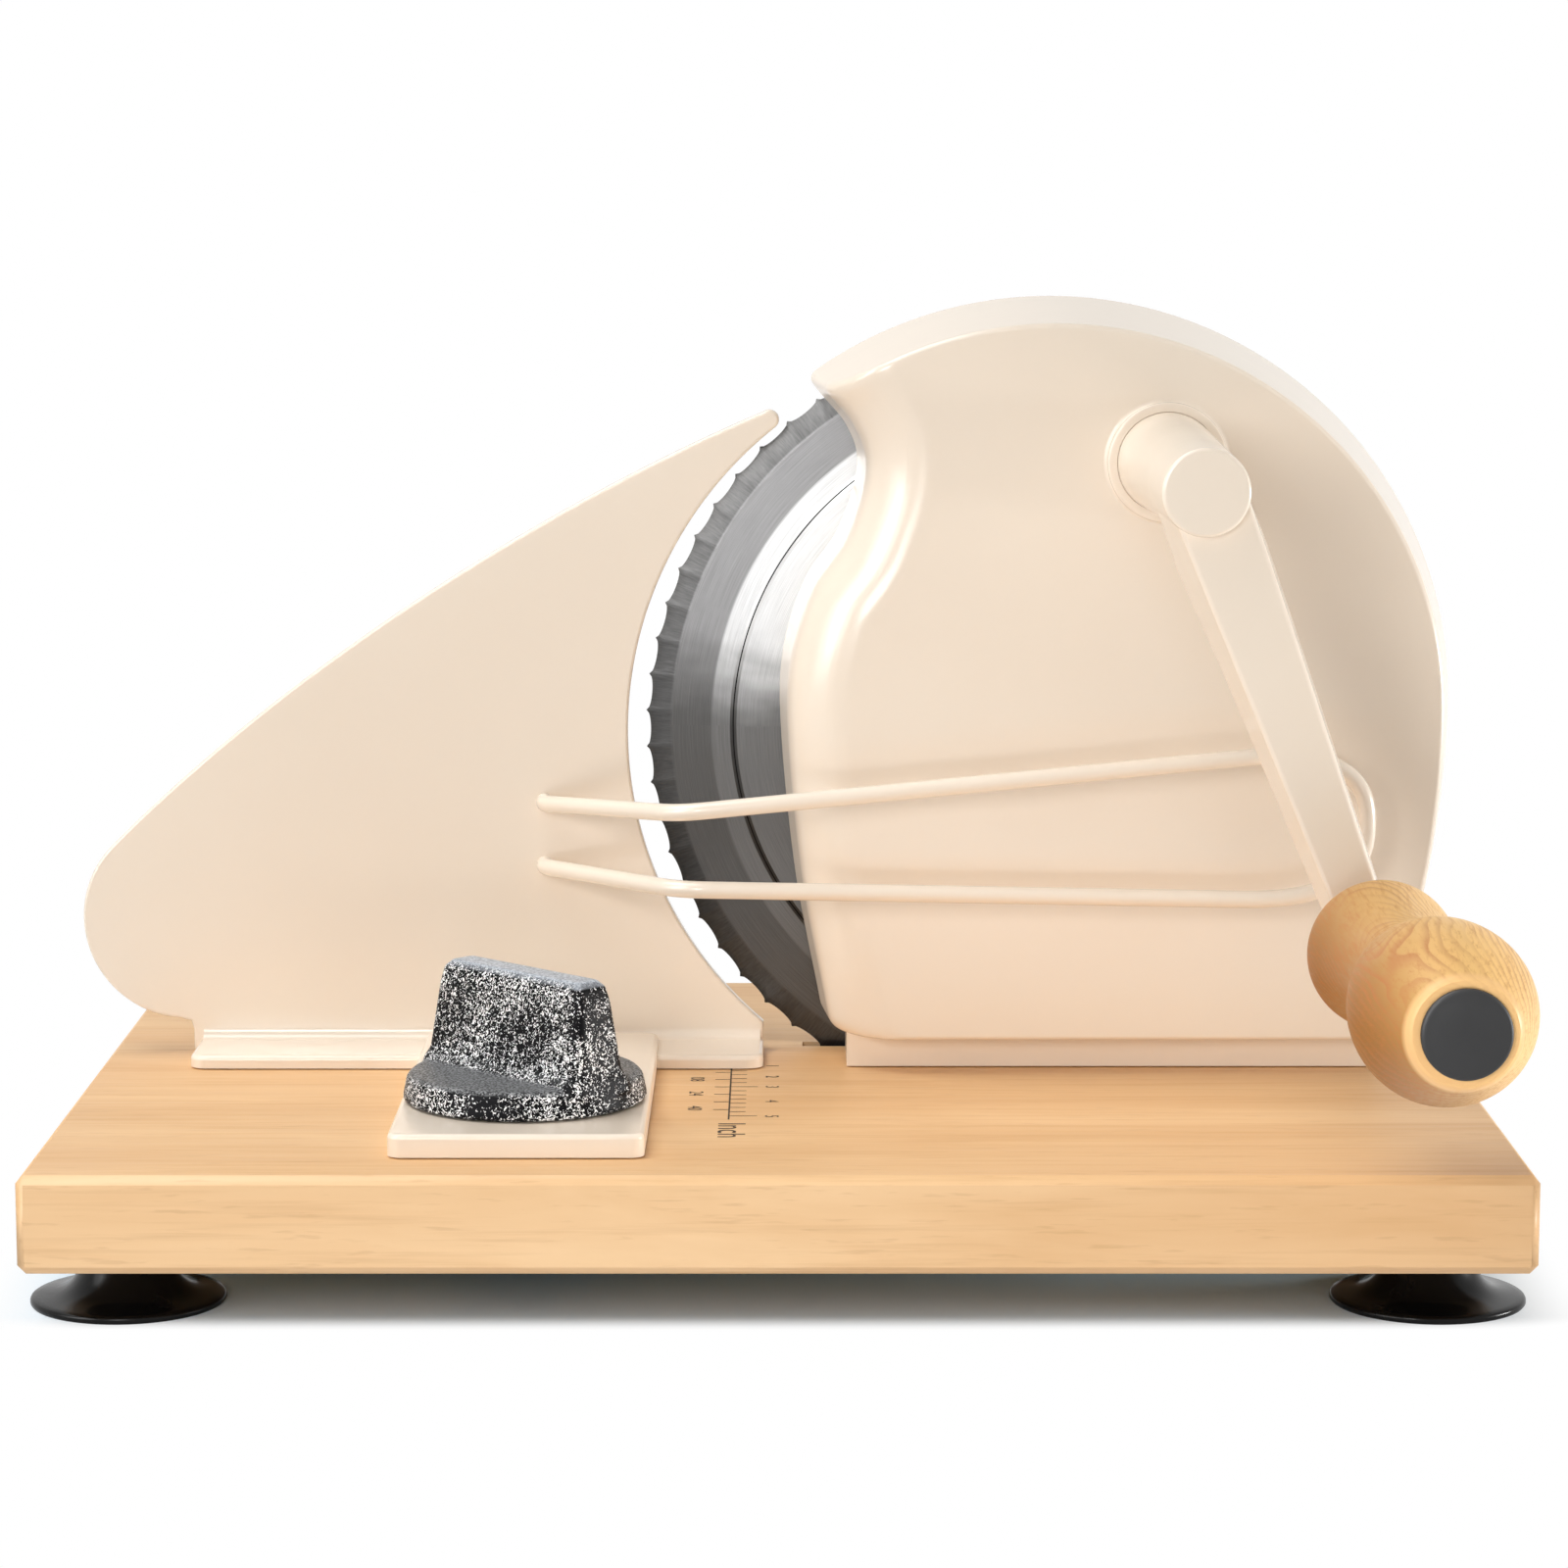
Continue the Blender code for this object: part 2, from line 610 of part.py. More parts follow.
def make_board(base):
    half = BOARD_LENGTH / 2
    board = add_piece("base_board", block((-half, 0, FOOT_HEIGHT), (half, BOARD_DEPTH, BOARD_TOP)),
                      base, "beech")
    round_edges(board, BOARD_EDGE, 1)
    half_chord = math.sqrt(BLADE_RADIUS ** 2 - BLADE_RISE ** 2) + BLADE_SLOT_END
    below, above = FOOT_HEIGHT - 0.01, BOARD_TOP + 0.01
    cut(board, block((BLADE_X - half_chord, CUT_Y - BLADE_THICKNESS - BLADE_SLOT_SIDE, below),
                     (BLADE_X + half_chord, CUT_Y + BLADE_SLOT_SIDE, above)), "blade_slot")
    slot_front = KNOB_Y + FRONT_KEY_START - TRAVEL_OUT - SLOT_END_PLAY
    slot_rear = KNOB_Y + REAR_KEY_END + TRAVEL_IN + SLOT_END_PLAY
    cut(board, block((KNOB_X - SLOT_WIDTH / 2, slot_front, below),
                     (KNOB_X + SLOT_WIDTH / 2, slot_rear, above)), "guide_slot")
    groove = NUT_SIDE / 2 + NUT_SIDE_PLAY
    cut(board, block((KNOB_X - groove, KNOB_Y - groove - TRAVEL_OUT, below),
                     (KNOB_X + groove, KNOB_Y + groove + TRAVEL_IN, GROOVE_CEILING)), "nut_groove")
    holes = [rod(STUD_RADIUS + SEAT_GAP, below, FOOT_HEIGHT + STUD_IN_BOARD + SEAT_GAP, (x, y),
                 FINE_SIDES, "Z") for name, x, y in foot_places()]
    clear = HOUSING_SCREW_RADIUS + SEAT_GAP
    wide = HOUSING_WASHER_RADIUS + 2 * SEAT_GAP
    ledge = FOOT_HEIGHT + COUNTERBORE_DEPTH
    for place in HOUSING_SCREW_PLACES.values():
        profile = ((0, below), (wide, below), (wide, ledge), (clear, ledge), (clear, above), (0, above))
        holes.append(turned(profile, (BLADE_X + place, HOUSING_SCREW_Y), SMALL_SIDES, "Z"))
    cut(board, merged(holes), "screw_holes")


def make_feet(base):
    top = FOOT_HEIGHT - SEAT_GAP
    span = FOOT_RADIUS - FOOT_NECK_RADIUS
    rim = FOOT_RADIUS - FOOT_RIM_WIDTH
    socket = STUD_RADIUS + SEAT_GAP
    floor = top - STUD_IN_FOOT
    flare = []
    for step in range(7):
        t = (step / 6) ** 2
        height = FOOT_LIP_HEIGHT + FOOT_SKIRT_RISE * (1 - t) + FOOT_NECK_RISE * (1 - t) ** 5
        flare.append((FOOT_NECK_RADIUS + span * t, height))
    dome = [(rim, 0), (rim * 0.6, FOOT_DOME * 0.75), (0, FOOT_DOME)]
    profile = [(0, floor), (socket, floor), (socket, top), (FOOT_NECK_RADIUS, top), *flare,
               (FOOT_RADIUS, 0), *dome]
    for name, x, y in foot_places():
        shade_round(add_piece(f"suction_foot_{name}", turned(profile, (x, y), MID_SIDES, "Z"),
                              base, "black_rubber"))
        stud = rod(STUD_RADIUS, floor + SEAT_GAP, FOOT_HEIGHT + STUD_IN_BOARD, (x, y), FINE_SIDES, "Z",
                   chamfer=0.0005)
        shade_round(add_piece(f"foot_stud_{name}", stud, base, "plain_steel"))


# Housing

def cowl_knots():
    """The cowl's free edge, from the board up to beyond the rim."""
    knots = []
    for degrees, beyond in COWL_EDGE:
        angle = math.radians(degrees)
        radius = COWL_COVER + beyond
        knots.append(Vector((BLADE_X + radius * math.cos(angle), BLADE_Z + radius * math.sin(angle))))
    low = knots[0]
    foot = Vector((low.x + (HOUSING_BOTTOM - low.y) * 0.1, HOUSING_BOTTOM - 0.012))
    last = (knots[-1] - knots[-2]).normalized()
    return [foot, *knots, knots[-1] + last * (RIM_RADIUS * 0.3)]


def housing_outline(rim_inset, cowl_inset, floor_inset):
    """One ring of the shell: floor, flank, rim, beak and cowl, anticlockwise."""
    rim_centre = Vector((RIM_X, RIM_Z))
    radius = RIM_RADIUS - rim_inset
    floor_z = HOUSING_BOTTOM + floor_inset

    edge = smooth_through(cowl_knots(), 8)
    moved = []
    for index, point in enumerate(edge):
        ahead = edge[min(index + 1, len(edge) - 1)] - edge[max(index - 1, 0)]
        moved.append(point + Vector((ahead.y, -ahead.x)).normalized() * cowl_inset)
    cowl = []
    for before, after in zip(moved, moved[1:]):
        if not cowl and after.y >= floor_z:
            share = (floor_z - before.y) / (after.y - before.y)
            cowl.append(before.lerp(after, share))
        if cowl:
            reach = (after - rim_centre).length
            if reach >= radius and after.y > rim_centre.y:
                start = (before - rim_centre).length
                cowl.append(before.lerp(after, (radius - start) / (reach - start)))
                break
            cowl.append(after)
    beak = cowl[-1] - rim_centre
    beak_angle = math.atan2(beak.y, beak.x)

    flank_radius = FLANK_RADIUS - rim_inset
    flank_centre = rim_centre + Vector((radius - flank_radius, 0))
    drop = math.asin((rim_centre.y - floor_z) / flank_radius)
    flank = [Vector(p) for p in arc(flank_centre, flank_radius, -drop, 0, 24)]
    rim = [Vector(p) for p in arc(rim_centre, radius, 0, beak_angle, 96)]

    floor_row = respaced([cowl[0], flank[0]], FOOT_CORNER_TRIM, FOOT_CORNER_TRIM, 3)
    side_row = respaced(flank + rim[1:], FOOT_CORNER_TRIM, BEAK_TRIM, 42)
    cowl_row = respaced(cowl[::-1], BEAK_TRIM, FOOT_CORNER_TRIM, 20)
    ring = list(floor_row)
    ring += corner_points(floor_row[-1], flank[0], side_row[0])
    ring += side_row
    ring += corner_points(side_row[-1], cowl[-1], cowl_row[0])
    ring += cowl_row
    ring += corner_points(cowl_row[-1], cowl[0], floor_row[0])
    return ring


def corner_points(before, corner, after):
    """Two points that round a corner between its neighbours."""
    points = []
    for t in (1 / 3, 2 / 3):
        points.append(before * (1 - t) ** 2 + corner * (2 * t * (1 - t)) + after * t ** 2)
    return points


def fillet_inset(depth, fillet):
    """How far a rounded front corner stands back at a depth behind the face."""
    if depth >= fillet:
        return 0.0
    return fillet - math.sqrt(fillet ** 2 - (fillet - depth) ** 2)


def housing_shell():
    """Open shell: outer skin from the face to the rear, then the inner skin."""
    rings = []
    outer_depths = (0.0, RIM_FILLET * 0.25, RIM_FILLET, 0.0030, 0.0065, COWL_FILLET,
                    HOUSING_DEPTH - REAR_EDGE_ROUND, HOUSING_DEPTH)
    for depth in outer_depths:
        left = 1 - depth / HOUSING_DEPTH
        eased = REAR_EDGE_ROUND * 0.8 if depth == HOUSING_DEPTH else 0.0
        rim = RIM_DRAFT * left + fillet_inset(depth, RIM_FILLET) + eased
        cowl = COWL_DRAFT * left + fillet_inset(depth, COWL_FILLET) + eased
        floor = fillet_inset(depth, RIM_FILLET) + eased
        rings.append((depth, rim, cowl, floor))
    inner_fillet = COWL_FILLET - HOUSING_WALL
    inner_depths = (HOUSING_DEPTH, HOUSING_FACE_WALL + inner_fillet, HOUSING_FACE_WALL + 0.003,
                    HOUSING_FACE_WALL)
    for depth in inner_depths:
        left = 1 - depth / HOUSING_DEPTH
        rim = HOUSING_WALL + RIM_DRAFT * left
        cowl = HOUSING_WALL + COWL_DRAFT * left
        cowl += fillet_inset(depth - HOUSING_FACE_WALL, inner_fillet)
        rings.append((depth, rim, cowl, HOUSING_WALL))
    placed = []
    for depth, rim, cowl, floor in rings:
        outline = housing_outline(rim, cowl, floor)
        placed.append([(p.x, HOUSING_FACE_Y + depth, p.y) for p in outline])
    return lofted(placed)


def make_housing(base):
    housing = add_piece("gear_housing", housing_shell(), base, "cream_enamel")
    blade_centre = (BLADE_X, BLADE_Z)
    crank_centre = (CRANK_X, CRANK_Z)
    in_face = HOUSING_FACE_Y + HOUSING_FACE_WALL / 2
    in_floor = HOUSING_BOTTOM + HOUSING_WALL / 2
    join(housing, rod(AXLE_BOSS_RADIUS, in_face, AXLE_BOSS_END_Y, blade_centre, MID_SIDES), "axle_boss")
    join(housing, rod(BUSH_RADIUS + CRANK_BOSS_WALL, in_face, CRANK_BOSS_END_Y, crank_centre,
                      MID_SIDES), "crank_boss")
    lip_front = HOUSING_FACE_Y - LIP_HEIGHT
    lip = turned(((LIP_BORE, in_face), (LIP_BORE, lip_front + 0.0005), (LIP_BORE + 0.0004, lip_front),
                  (LIP_RADIUS - 0.0004, lip_front), (LIP_RADIUS, lip_front + 0.0004),
                  (LIP_RADIUS + LIP_FILLET * 0.3, HOUSING_FACE_Y - LIP_FILLET * 0.3),
                  (LIP_RADIUS + LIP_FILLET, HOUSING_FACE_Y + 0.0001),
                  (LIP_RADIUS + LIP_FILLET, in_face)), crank_centre, LARGE_SIDES)
    join(housing, lip, "crank_lip")
    plinth = block((BLADE_X + PLINTH_LEFT, PLINTH_FRONT_Y, BOARD_TOP + SEAT_GAP),
                   (BLADE_X + PLINTH_RIGHT, HOUSING_REAR_Y - REAR_EDGE_ROUND, in_floor))
    join(housing, plinth, "plinth")
    boss_top = BOARD_TOP + HOUSING_SCREW_BITE + SCREW_BOSS_ROOF
    boss_radius = HOUSING_SCREW_RADIUS + SCREW_BOSS_WALL
    places = [(BLADE_X + place, HOUSING_SCREW_Y) for place in HOUSING_SCREW_PLACES.values()]
    join(housing, merged([rod(boss_radius, in_floor, boss_top, place, FINE_SIDES, "Z") for place in places]),
         "screw_bosses")
    cut(housing, rod(BUSH_RADIUS + SEAT_GAP, HOUSING_FACE_Y - 0.01, CRANK_BOSS_END_Y + 0.01,
                     crank_centre, MID_SIDES), "bush_bore")
    cut(housing, rod(AXLE_RADIUS + SEAT_GAP, HOUSING_FACE_Y + AXLE_ROOT, AXLE_BOSS_END_Y + 0.01,
                     blade_centre), "axle_bore")
    hole = HOUSING_SCREW_RADIUS + SEAT_GAP
    cut(housing, merged([rod(hole, BOARD_TOP - 0.01, BOARD_TOP + HOUSING_SCREW_BITE + SEAT_GAP,
                             place, FINE_SIDES, "Z") for place in places]), "screw_holes")
    shade_round(housing, 30)


def make_housing_screws(base):
    ledge = FOOT_HEIGHT + COUNTERBORE_DEPTH
    washer_top = ledge - SEAT_GAP
    washer_low = washer_top - HOUSING_WASHER_THICKNESS
    head_top = washer_low - SEAT_GAP
    head_low = head_top - HOUSING_SCREW_HEAD
    tip = BOARD_TOP + HOUSING_SCREW_BITE
    for name, place in HOUSING_SCREW_PLACES.items():
        centre = (BLADE_X + place, HOUSING_SCREW_Y)
        head = HOUSING_SCREW_HEAD_RADIUS
        profile = ((0, head_low), (head * 0.7, head_low), (head, head_low + 0.001), (head, head_top),
                   (HOUSING_SCREW_RADIUS, head_top), (HOUSING_SCREW_RADIUS, tip - 0.0008),
                   (HOUSING_SCREW_RADIUS - 0.0008, tip), (0, tip))
        shade_round(add_piece(f"housing_screw_{name}", turned(profile, centre, FINE_SIDES, "Z"), base,
                              "plain_steel"))
        washer = collar(HOUSING_WASHER_RADIUS, HOUSING_SCREW_RADIUS + SEAT_GAP, washer_low,
                        washer_top, centre, SMALL_SIDES, "Z")
        shade_round(add_piece(f"housing_washer_{name}", washer, base, "plain_steel"))


# Blade drive

def gear_outline(teeth, centre, first_tooth):
    """Involute spur gear outline with one tooth centred at first_tooth."""
    pitch = GEAR_MODULE * teeth / 2
    base_circle = pitch * math.cos(PRESSURE_ANGLE)
    tip = pitch + GEAR_MODULE
    root = pitch - 1.25 * GEAR_MODULE
    half_at_pitch = math.pi / (2 * teeth) - TOOTH_PLAY / pitch

    def roll(radius):
        angle = math.acos(min(1.0, base_circle / radius))
        return math.tan(angle) - angle

    flank_start = max(root, base_circle)
    flank = [flank_start + (tip - flank_start) * share for share in (0, 0.45, 1)]
    half_angles = [half_at_pitch + roll(pitch) - roll(radius) for radius in flank]
    points = []
    for tooth in range(teeth):
        middle = first_tooth + 2 * math.pi * tooth / teeth
        rising = [(radius, middle - half) for radius, half in zip(flank, half_angles)]
        falling = [(radius, middle + half) for radius, half in zip(flank[::-1], half_angles[::-1])]
        tooth_row = [*rising, *falling]
        if flank_start > root:
            foot_angle = half_angles[0] + ROOT_FLARE / teeth
            tooth_row = [(root, middle - foot_angle), *tooth_row, (root, middle + foot_angle)]
        for radius, angle in tooth_row:
            points.append((centre[0] + radius * math.cos(angle), centre[1] + radius * math.sin(angle)))
    return points


def blade_screw_places():
    for step in range(BLADE_SCREW_COUNT):
        angle = math.pi / 2 + 2 * math.pi * step / BLADE_SCREW_COUNT
        yield (BLADE_X + BLADE_SCREW_CIRCLE * math.cos(angle),
               BLADE_Z + BLADE_SCREW_CIRCLE * math.sin(angle))


def make_blade_drive(base, blade_body):
    centre = (BLADE_X, BLADE_Z)
    bush_outer = AXLE_RADIUS + RUN_GAP + GEAR_BUSH_WALL
    gear = add_piece("drive_gear", extruded(gear_outline(GEAR_TEETH, centre, CRANK_DIRECTION),
                                            GEAR_Y, GEAR_Y + GEAR_WIDTH), blade_body, "gear_nylon")
    join(gear, rod(GEAR_HUB_RADIUS, GEAR_Y + GEAR_WIDTH / 2, GEAR_HUB_END_Y, centre, MID_SIDES), "hub")
    cut(gear, rod(bush_outer + SEAT_GAP, GEAR_Y - 0.01, GEAR_HUB_END_Y + 0.01, centre, MID_SIDES), "bore")
    cut(gear, merged([rod(BLADE_SCREW_RADIUS + SEAT_GAP, GEAR_HUB_END_Y - BLADE_SCREW_BITE - SEAT_GAP,
                          GEAR_HUB_END_Y + 0.01, place, FINE_SIDES) for place in blade_screw_places()]),
        "screw_holes")
    shade_round(gear)
    shade_round(add_piece("gear_bushing", collar(bush_outer, AXLE_RADIUS + RUN_GAP, GEAR_Y,
                                                 GEAR_HUB_END_Y, centre, MID_SIDES),
                          blade_body, "bronze"))
    washer_start = AXLE_BOSS_END_Y + SEAT_GAP
    shade_round(add_piece("gear_thrust_washer",
                          collar(AXLE_WASHER_RADIUS, AXLE_RADIUS + RUN_GAP, washer_start,
                                 washer_start + AXLE_WASHER_THICKNESS, centre), base, "bronze"))
    axle_end = DISH_REAR_Y + SEAT_GAP / 2
    bore = AXLE_SCREW_RADIUS + SEAT_GAP
    bore_floor = axle_end - AXLE_SCREW_LENGTH - SEAT_GAP
    axle_start = HOUSING_FACE_Y + AXLE_ROOT + SEAT_GAP
    axle = turned(((0, axle_start), (AXLE_RADIUS - 0.0005, axle_start),
                   (AXLE_RADIUS, axle_start + 0.0005), (AXLE_RADIUS, axle_end), (bore, axle_end),
                   (bore, bore_floor), (0, bore_floor)), centre, SMALL_SIDES)
    shade_round(add_piece("blade_axle", axle, base, "plain_steel"))
    head_front = axle_end + SEAT_GAP
    head = AXLE_SCREW_HEAD_RADIUS
    screw = turned(((0, axle_end - AXLE_SCREW_LENGTH), (AXLE_SCREW_RADIUS, axle_end - AXLE_SCREW_LENGTH),
                    (AXLE_SCREW_RADIUS, head_front), (head, head_front), (head, CUT_Y - 0.0006),
                    (head - 0.0006, CUT_Y), (0, CUT_Y)), centre, MID_SIDES)
    retainer = add_piece("blade_retaining_screw", screw, base, "plain_steel")
    slot = 0.0009
    cut(retainer, block((BLADE_X - head * 0.75, CUT_Y - slot, BLADE_Z - slot),
                        (BLADE_X + head * 0.75, CUT_Y + 0.001, BLADE_Z + slot)), "coin_slot")
    shade_round(retainer)


def scallop_radius(share):
    """Radius of the cutting edge across one scallop, share from tip to tip."""
    return BLADE_RADIUS - SCALLOP_DEPTH * math.sqrt(max(0.0, 1 - (2 * share - 1) ** 2))


def blade_disc():
    """Dished disc with a ground, scalloped edge."""
    steps = SCALLOP_STEPS
    fine, coarse = SCALLOPS * steps, SCALLOPS
    shape = bmesh.new()

    def ring(count, radius_of, y):
        row = []
        for step in range(count):
            angle = SCALLOP_PHASE + 2 * math.pi * step / count
            radius = radius_of(step)
            row.append(shape.verts.new((BLADE_X + radius * math.cos(angle), y,
                                        BLADE_Z + radius * math.sin(angle))))
        return row

    def edge(step):
        return scallop_radius((step % steps) / steps)

    hole = AXLE_RADIUS + RUN_GAP
    dish_out = DISH_RADIUS + DISH_SLOPE
    rim_front_y = CUT_Y - BLADE_THICKNESS
    bevel = BLADE_RADIUS - BLADE_BEVEL
    front_edge = ring(fine, edge, CUT_Y - EDGE_THICKNESS)
    rear_edge = ring(fine, edge, CUT_Y)
    front_rows = [ring(coarse, lambda step, r=r: r, y) for r, y in
                  ((bevel, rim_front_y), (dish_out, rim_front_y), (DISH_RADIUS, DISH_FRONT_Y),
                   (hole, DISH_FRONT_Y))]
    rear_rows = [ring(coarse, lambda step, r=r: r, y) for r, y in
                 ((bevel, CUT_Y), (dish_out, CUT_Y), (DISH_RADIUS, DISH_REAR_Y), (hole, DISH_REAR_Y))]
    for step in range(fine):
        after = (step + 1) % fine
        shape.faces.new((front_edge[step], front_edge[after], rear_edge[after], rear_edge[step]))
    for edge_row, inner in ((front_edge, front_rows[0]), (rear_edge, rear_rows[0])):
        for tooth in range(coarse):
            row = [edge_row[(tooth * steps + step) % fine] for step in range(steps + 1)]
            turn_over = (steps + 1) // 2
            for step in range(steps):
                near = inner[tooth] if step < turn_over else inner[(tooth + 1) % coarse]
                shape.faces.new((row[step], row[step + 1], near))
            middle = row[turn_over]
            shape.faces.new((middle, inner[(tooth + 1) % coarse], inner[tooth]))
    loops = [*zip(front_rows, front_rows[1:]), *zip(rear_rows, rear_rows[1:]),
             (front_rows[-1], rear_rows[-1])]
    for first, second in loops:
        for step in range(coarse):
            after = (step + 1) % coarse
            shape.faces.new((first[step], first[after], second[after], second[step]))
    return shape


def make_blade(blade_body):
    blade = add_piece("blade", blade_disc(), blade_body, "blade_steel")
    cut(blade, merged([rod(BLADE_SCREW_RADIUS + SEAT_GAP, DISH_FRONT_Y - 0.01, CUT_Y + 0.01, place, FINE_SIDES)
                       for place in blade_screw_places()]), "screw_holes")
    shade_round(blade, 20)
    for number, place in enumerate(blade_screw_places(), 1):
        head_front = DISH_REAR_Y + SEAT_GAP
        tip = GEAR_HUB_END_Y - BLADE_SCREW_BITE
        radius, head = BLADE_SCREW_RADIUS, BLADE_SCREW_HEAD_RADIUS
        profile = ((0, tip), (radius - 0.0005, tip), (radius, tip + 0.0005), (radius, head_front),
                   (head, head_front), (head, head_front + BLADE_SCREW_HEAD * 0.6),
                   (head * 0.7, head_front + BLADE_SCREW_HEAD), (0, head_front + BLADE_SCREW_HEAD))
        shade_round(add_piece(f"blade_screw_{number}", turned(profile, place, FINE_SIDES), blade_body,
                              "plain_steel"))


# Crank

def make_crank_drive(base, crank):
    centre = (CRANK_X, CRANK_Z)
    bush = turned(((SHAFT_RADIUS + RUN_GAP, BUSH_FLANGE_Y), (BUSH_FLANGE_RADIUS, BUSH_FLANGE_Y),
                   (BUSH_FLANGE_RADIUS, BUSH_FLANGE_Y + BUSH_FLANGE_THICKNESS),
                   (BUSH_RADIUS, BUSH_FLANGE_Y + BUSH_FLANGE_THICKNESS),
                   (BUSH_RADIUS, CRANK_BOSS_END_Y), (SHAFT_RADIUS + RUN_GAP, CRANK_BOSS_END_Y)),
                  centre, MID_SIDES)
    shade_round(add_piece("crank_bushing", bush, base, "bronze"))

    seat_start = PINION_Y - SEAT_GAP
    shaft = add_piece("crank_shaft", rod(SHAFT_RADIUS, SHAFT_FRONT_Y, seat_start, centre,
                                         chamfer=0.0006), crank, "plain_steel")
    half = SHAFT_SQUARE / 2
    join(shaft, block((CRANK_X - half, seat_start - 0.004, CRANK_Z - half),
                      (CRANK_X + half, PINION_END_Y, CRANK_Z + half)), "square_end")
    bite = PINION_END_Y - PINION_SCREW_BITE
    cut(shaft, rod(PINION_SCREW_RADIUS + SEAT_GAP, bite - SEAT_GAP, PINION_END_Y + 0.01, centre, FINE_SIDES),
        "screw_hole")
    shade_round(shaft)

    pinion = add_piece("pinion", extruded(
        gear_outline(PINION_TEETH, centre, CRANK_DIRECTION + math.pi * (1 + 1 / PINION_TEETH)),
        PINION_Y, PINION_END_Y), crank, "plain_steel")
    hole = half + SEAT_GAP
    cut(pinion, block((CRANK_X - hole, PINION_Y - 0.01, CRANK_Z - hole),
                      (CRANK_X + hole, PINION_END_Y + 0.01, CRANK_Z + hole)), "square_bore")
    shade_round(pinion)
    washer_start = PINION_END_Y + SEAT_GAP
    washer_end = washer_start + PINION_WASHER_THICKNESS
    shade_round(add_piece("pinion_washer", collar(PINION_WASHER_RADIUS, PINION_SCREW_RADIUS + SEAT_GAP,
                                                  washer_start, washer_end, centre), crank,
                          "plain_steel"))
    head_start = washer_end + SEAT_GAP
    head_end = head_start + PINION_SCREW_HEAD
    head = PINION_SCREW_HEAD_RADIUS
    screw = turned(((0, bite), (PINION_SCREW_RADIUS - 0.0004, bite),
                    (PINION_SCREW_RADIUS, bite + 0.0004), (PINION_SCREW_RADIUS, head_start),
                    (head, head_start), (head, head_end - 0.0008), (head * 0.75, head_end),
                    (0, head_end)), centre, FINE_SIDES)
    shade_round(add_piece("pinion_screw", screw, crank, "plain_steel"))


def arm_solid():
    """Tapered bar from the crank axis to the handle axis."""
    down = Vector((math.sin(CRANK_TURN), 0, -math.cos(CRANK_TURN)))
    across = Vector((math.cos(CRANK_TURN), 0, math.sin(CRANK_TURN)))
    start = Vector((CRANK_X, ARM_FRONT_Y, CRANK_Z))
    rings = []
    for reach, front, rear, depth in ARM_SECTIONS:
        middle = start + down * reach
        back = Vector((0, depth, 0))
        rings.append([middle - across * front, middle + across * front,
                      middle + across * rear + back, middle - across * rear + back])
    return lofted(rings)


def make_crank_arm(crank, grip_seat):
    arm = add_piece("crank_arm", arm_solid(), crank, "cream_enamel")
    round_edges(arm, ARM_EDGE)
    centre = (CRANK_X, CRANK_Z)
    bore = SHAFT_RADIUS + SEAT_GAP
    bore_floor = SHAFT_FRONT_Y - SEAT_GAP
    hub = turned(((0, HUB_FRONT_Y), (HUB_FRONT_RADIUS - HUB_EDGE, HUB_FRONT_Y),
                  (HUB_FRONT_RADIUS - HUB_EDGE * 0.3, HUB_FRONT_Y + HUB_EDGE * 0.3),
                  (HUB_FRONT_RADIUS, HUB_FRONT_Y + HUB_EDGE), (HUB_REAR_RADIUS, HUB_REAR_Y - 0.0006),
                  (HUB_REAR_RADIUS - 0.0006, HUB_REAR_Y), (0, HUB_REAR_Y)), centre, LARGE_SIDES)
    join(arm, hub, "hub")
    handle = (HANDLE_X, HANDLE_Z)
    join(arm, rod(EYE_RADIUS, EYE_FRONT_Y, EYE_REAR_Y, handle, MID_SIDES, chamfer=0.0006), "eye",
         grip_seat)
    cut(arm, rod(bore, bore_floor, HUB_REAR_Y + 0.01, centre), "shaft_bore")
    cut(arm, rod(HANDLE_BOLT_RADIUS + SEAT_GAP, EYE_FRONT_Y - 0.01, EYE_REAR_Y + 0.01, handle),
        "bolt_hole", grip_seat)
    cut(arm, set_screw_solid(SET_SCREW_RADIUS + SEAT_GAP, SHAFT_RADIUS, HUB_REAR_RADIUS + 0.003),
        "set_screw_hole")
    shade_round(arm, 30)
    depth = SET_SCREW_FROM_REAR / HUB_LENGTH
    surface = HUB_REAR_RADIUS + (HUB_FRONT_RADIUS - HUB_REAR_RADIUS) * depth
    screw = add_piece("crank_set_screw", set_screw_solid(
        SET_SCREW_RADIUS, SHAFT_RADIUS + SEAT_GAP, surface - 0.0004), crank, "plain_steel")
    shade_round(screw)


def set_screw_solid(radius, start, end):
    """Cylinder that runs radially through the hub's wall."""
    shape = rod(radius, start, end, (0, 0), FINE_SIDES, "Z")
    turn = Matrix.Rotation(math.pi / 2 + SET_SCREW_TURN, 4, "Y")
    place = Matrix.Translation((CRANK_X, HUB_REAR_Y - SET_SCREW_FROM_REAR, CRANK_Z))
    bmesh.ops.transform(shape, matrix=place @ turn, verts=shape.verts)
    return shape


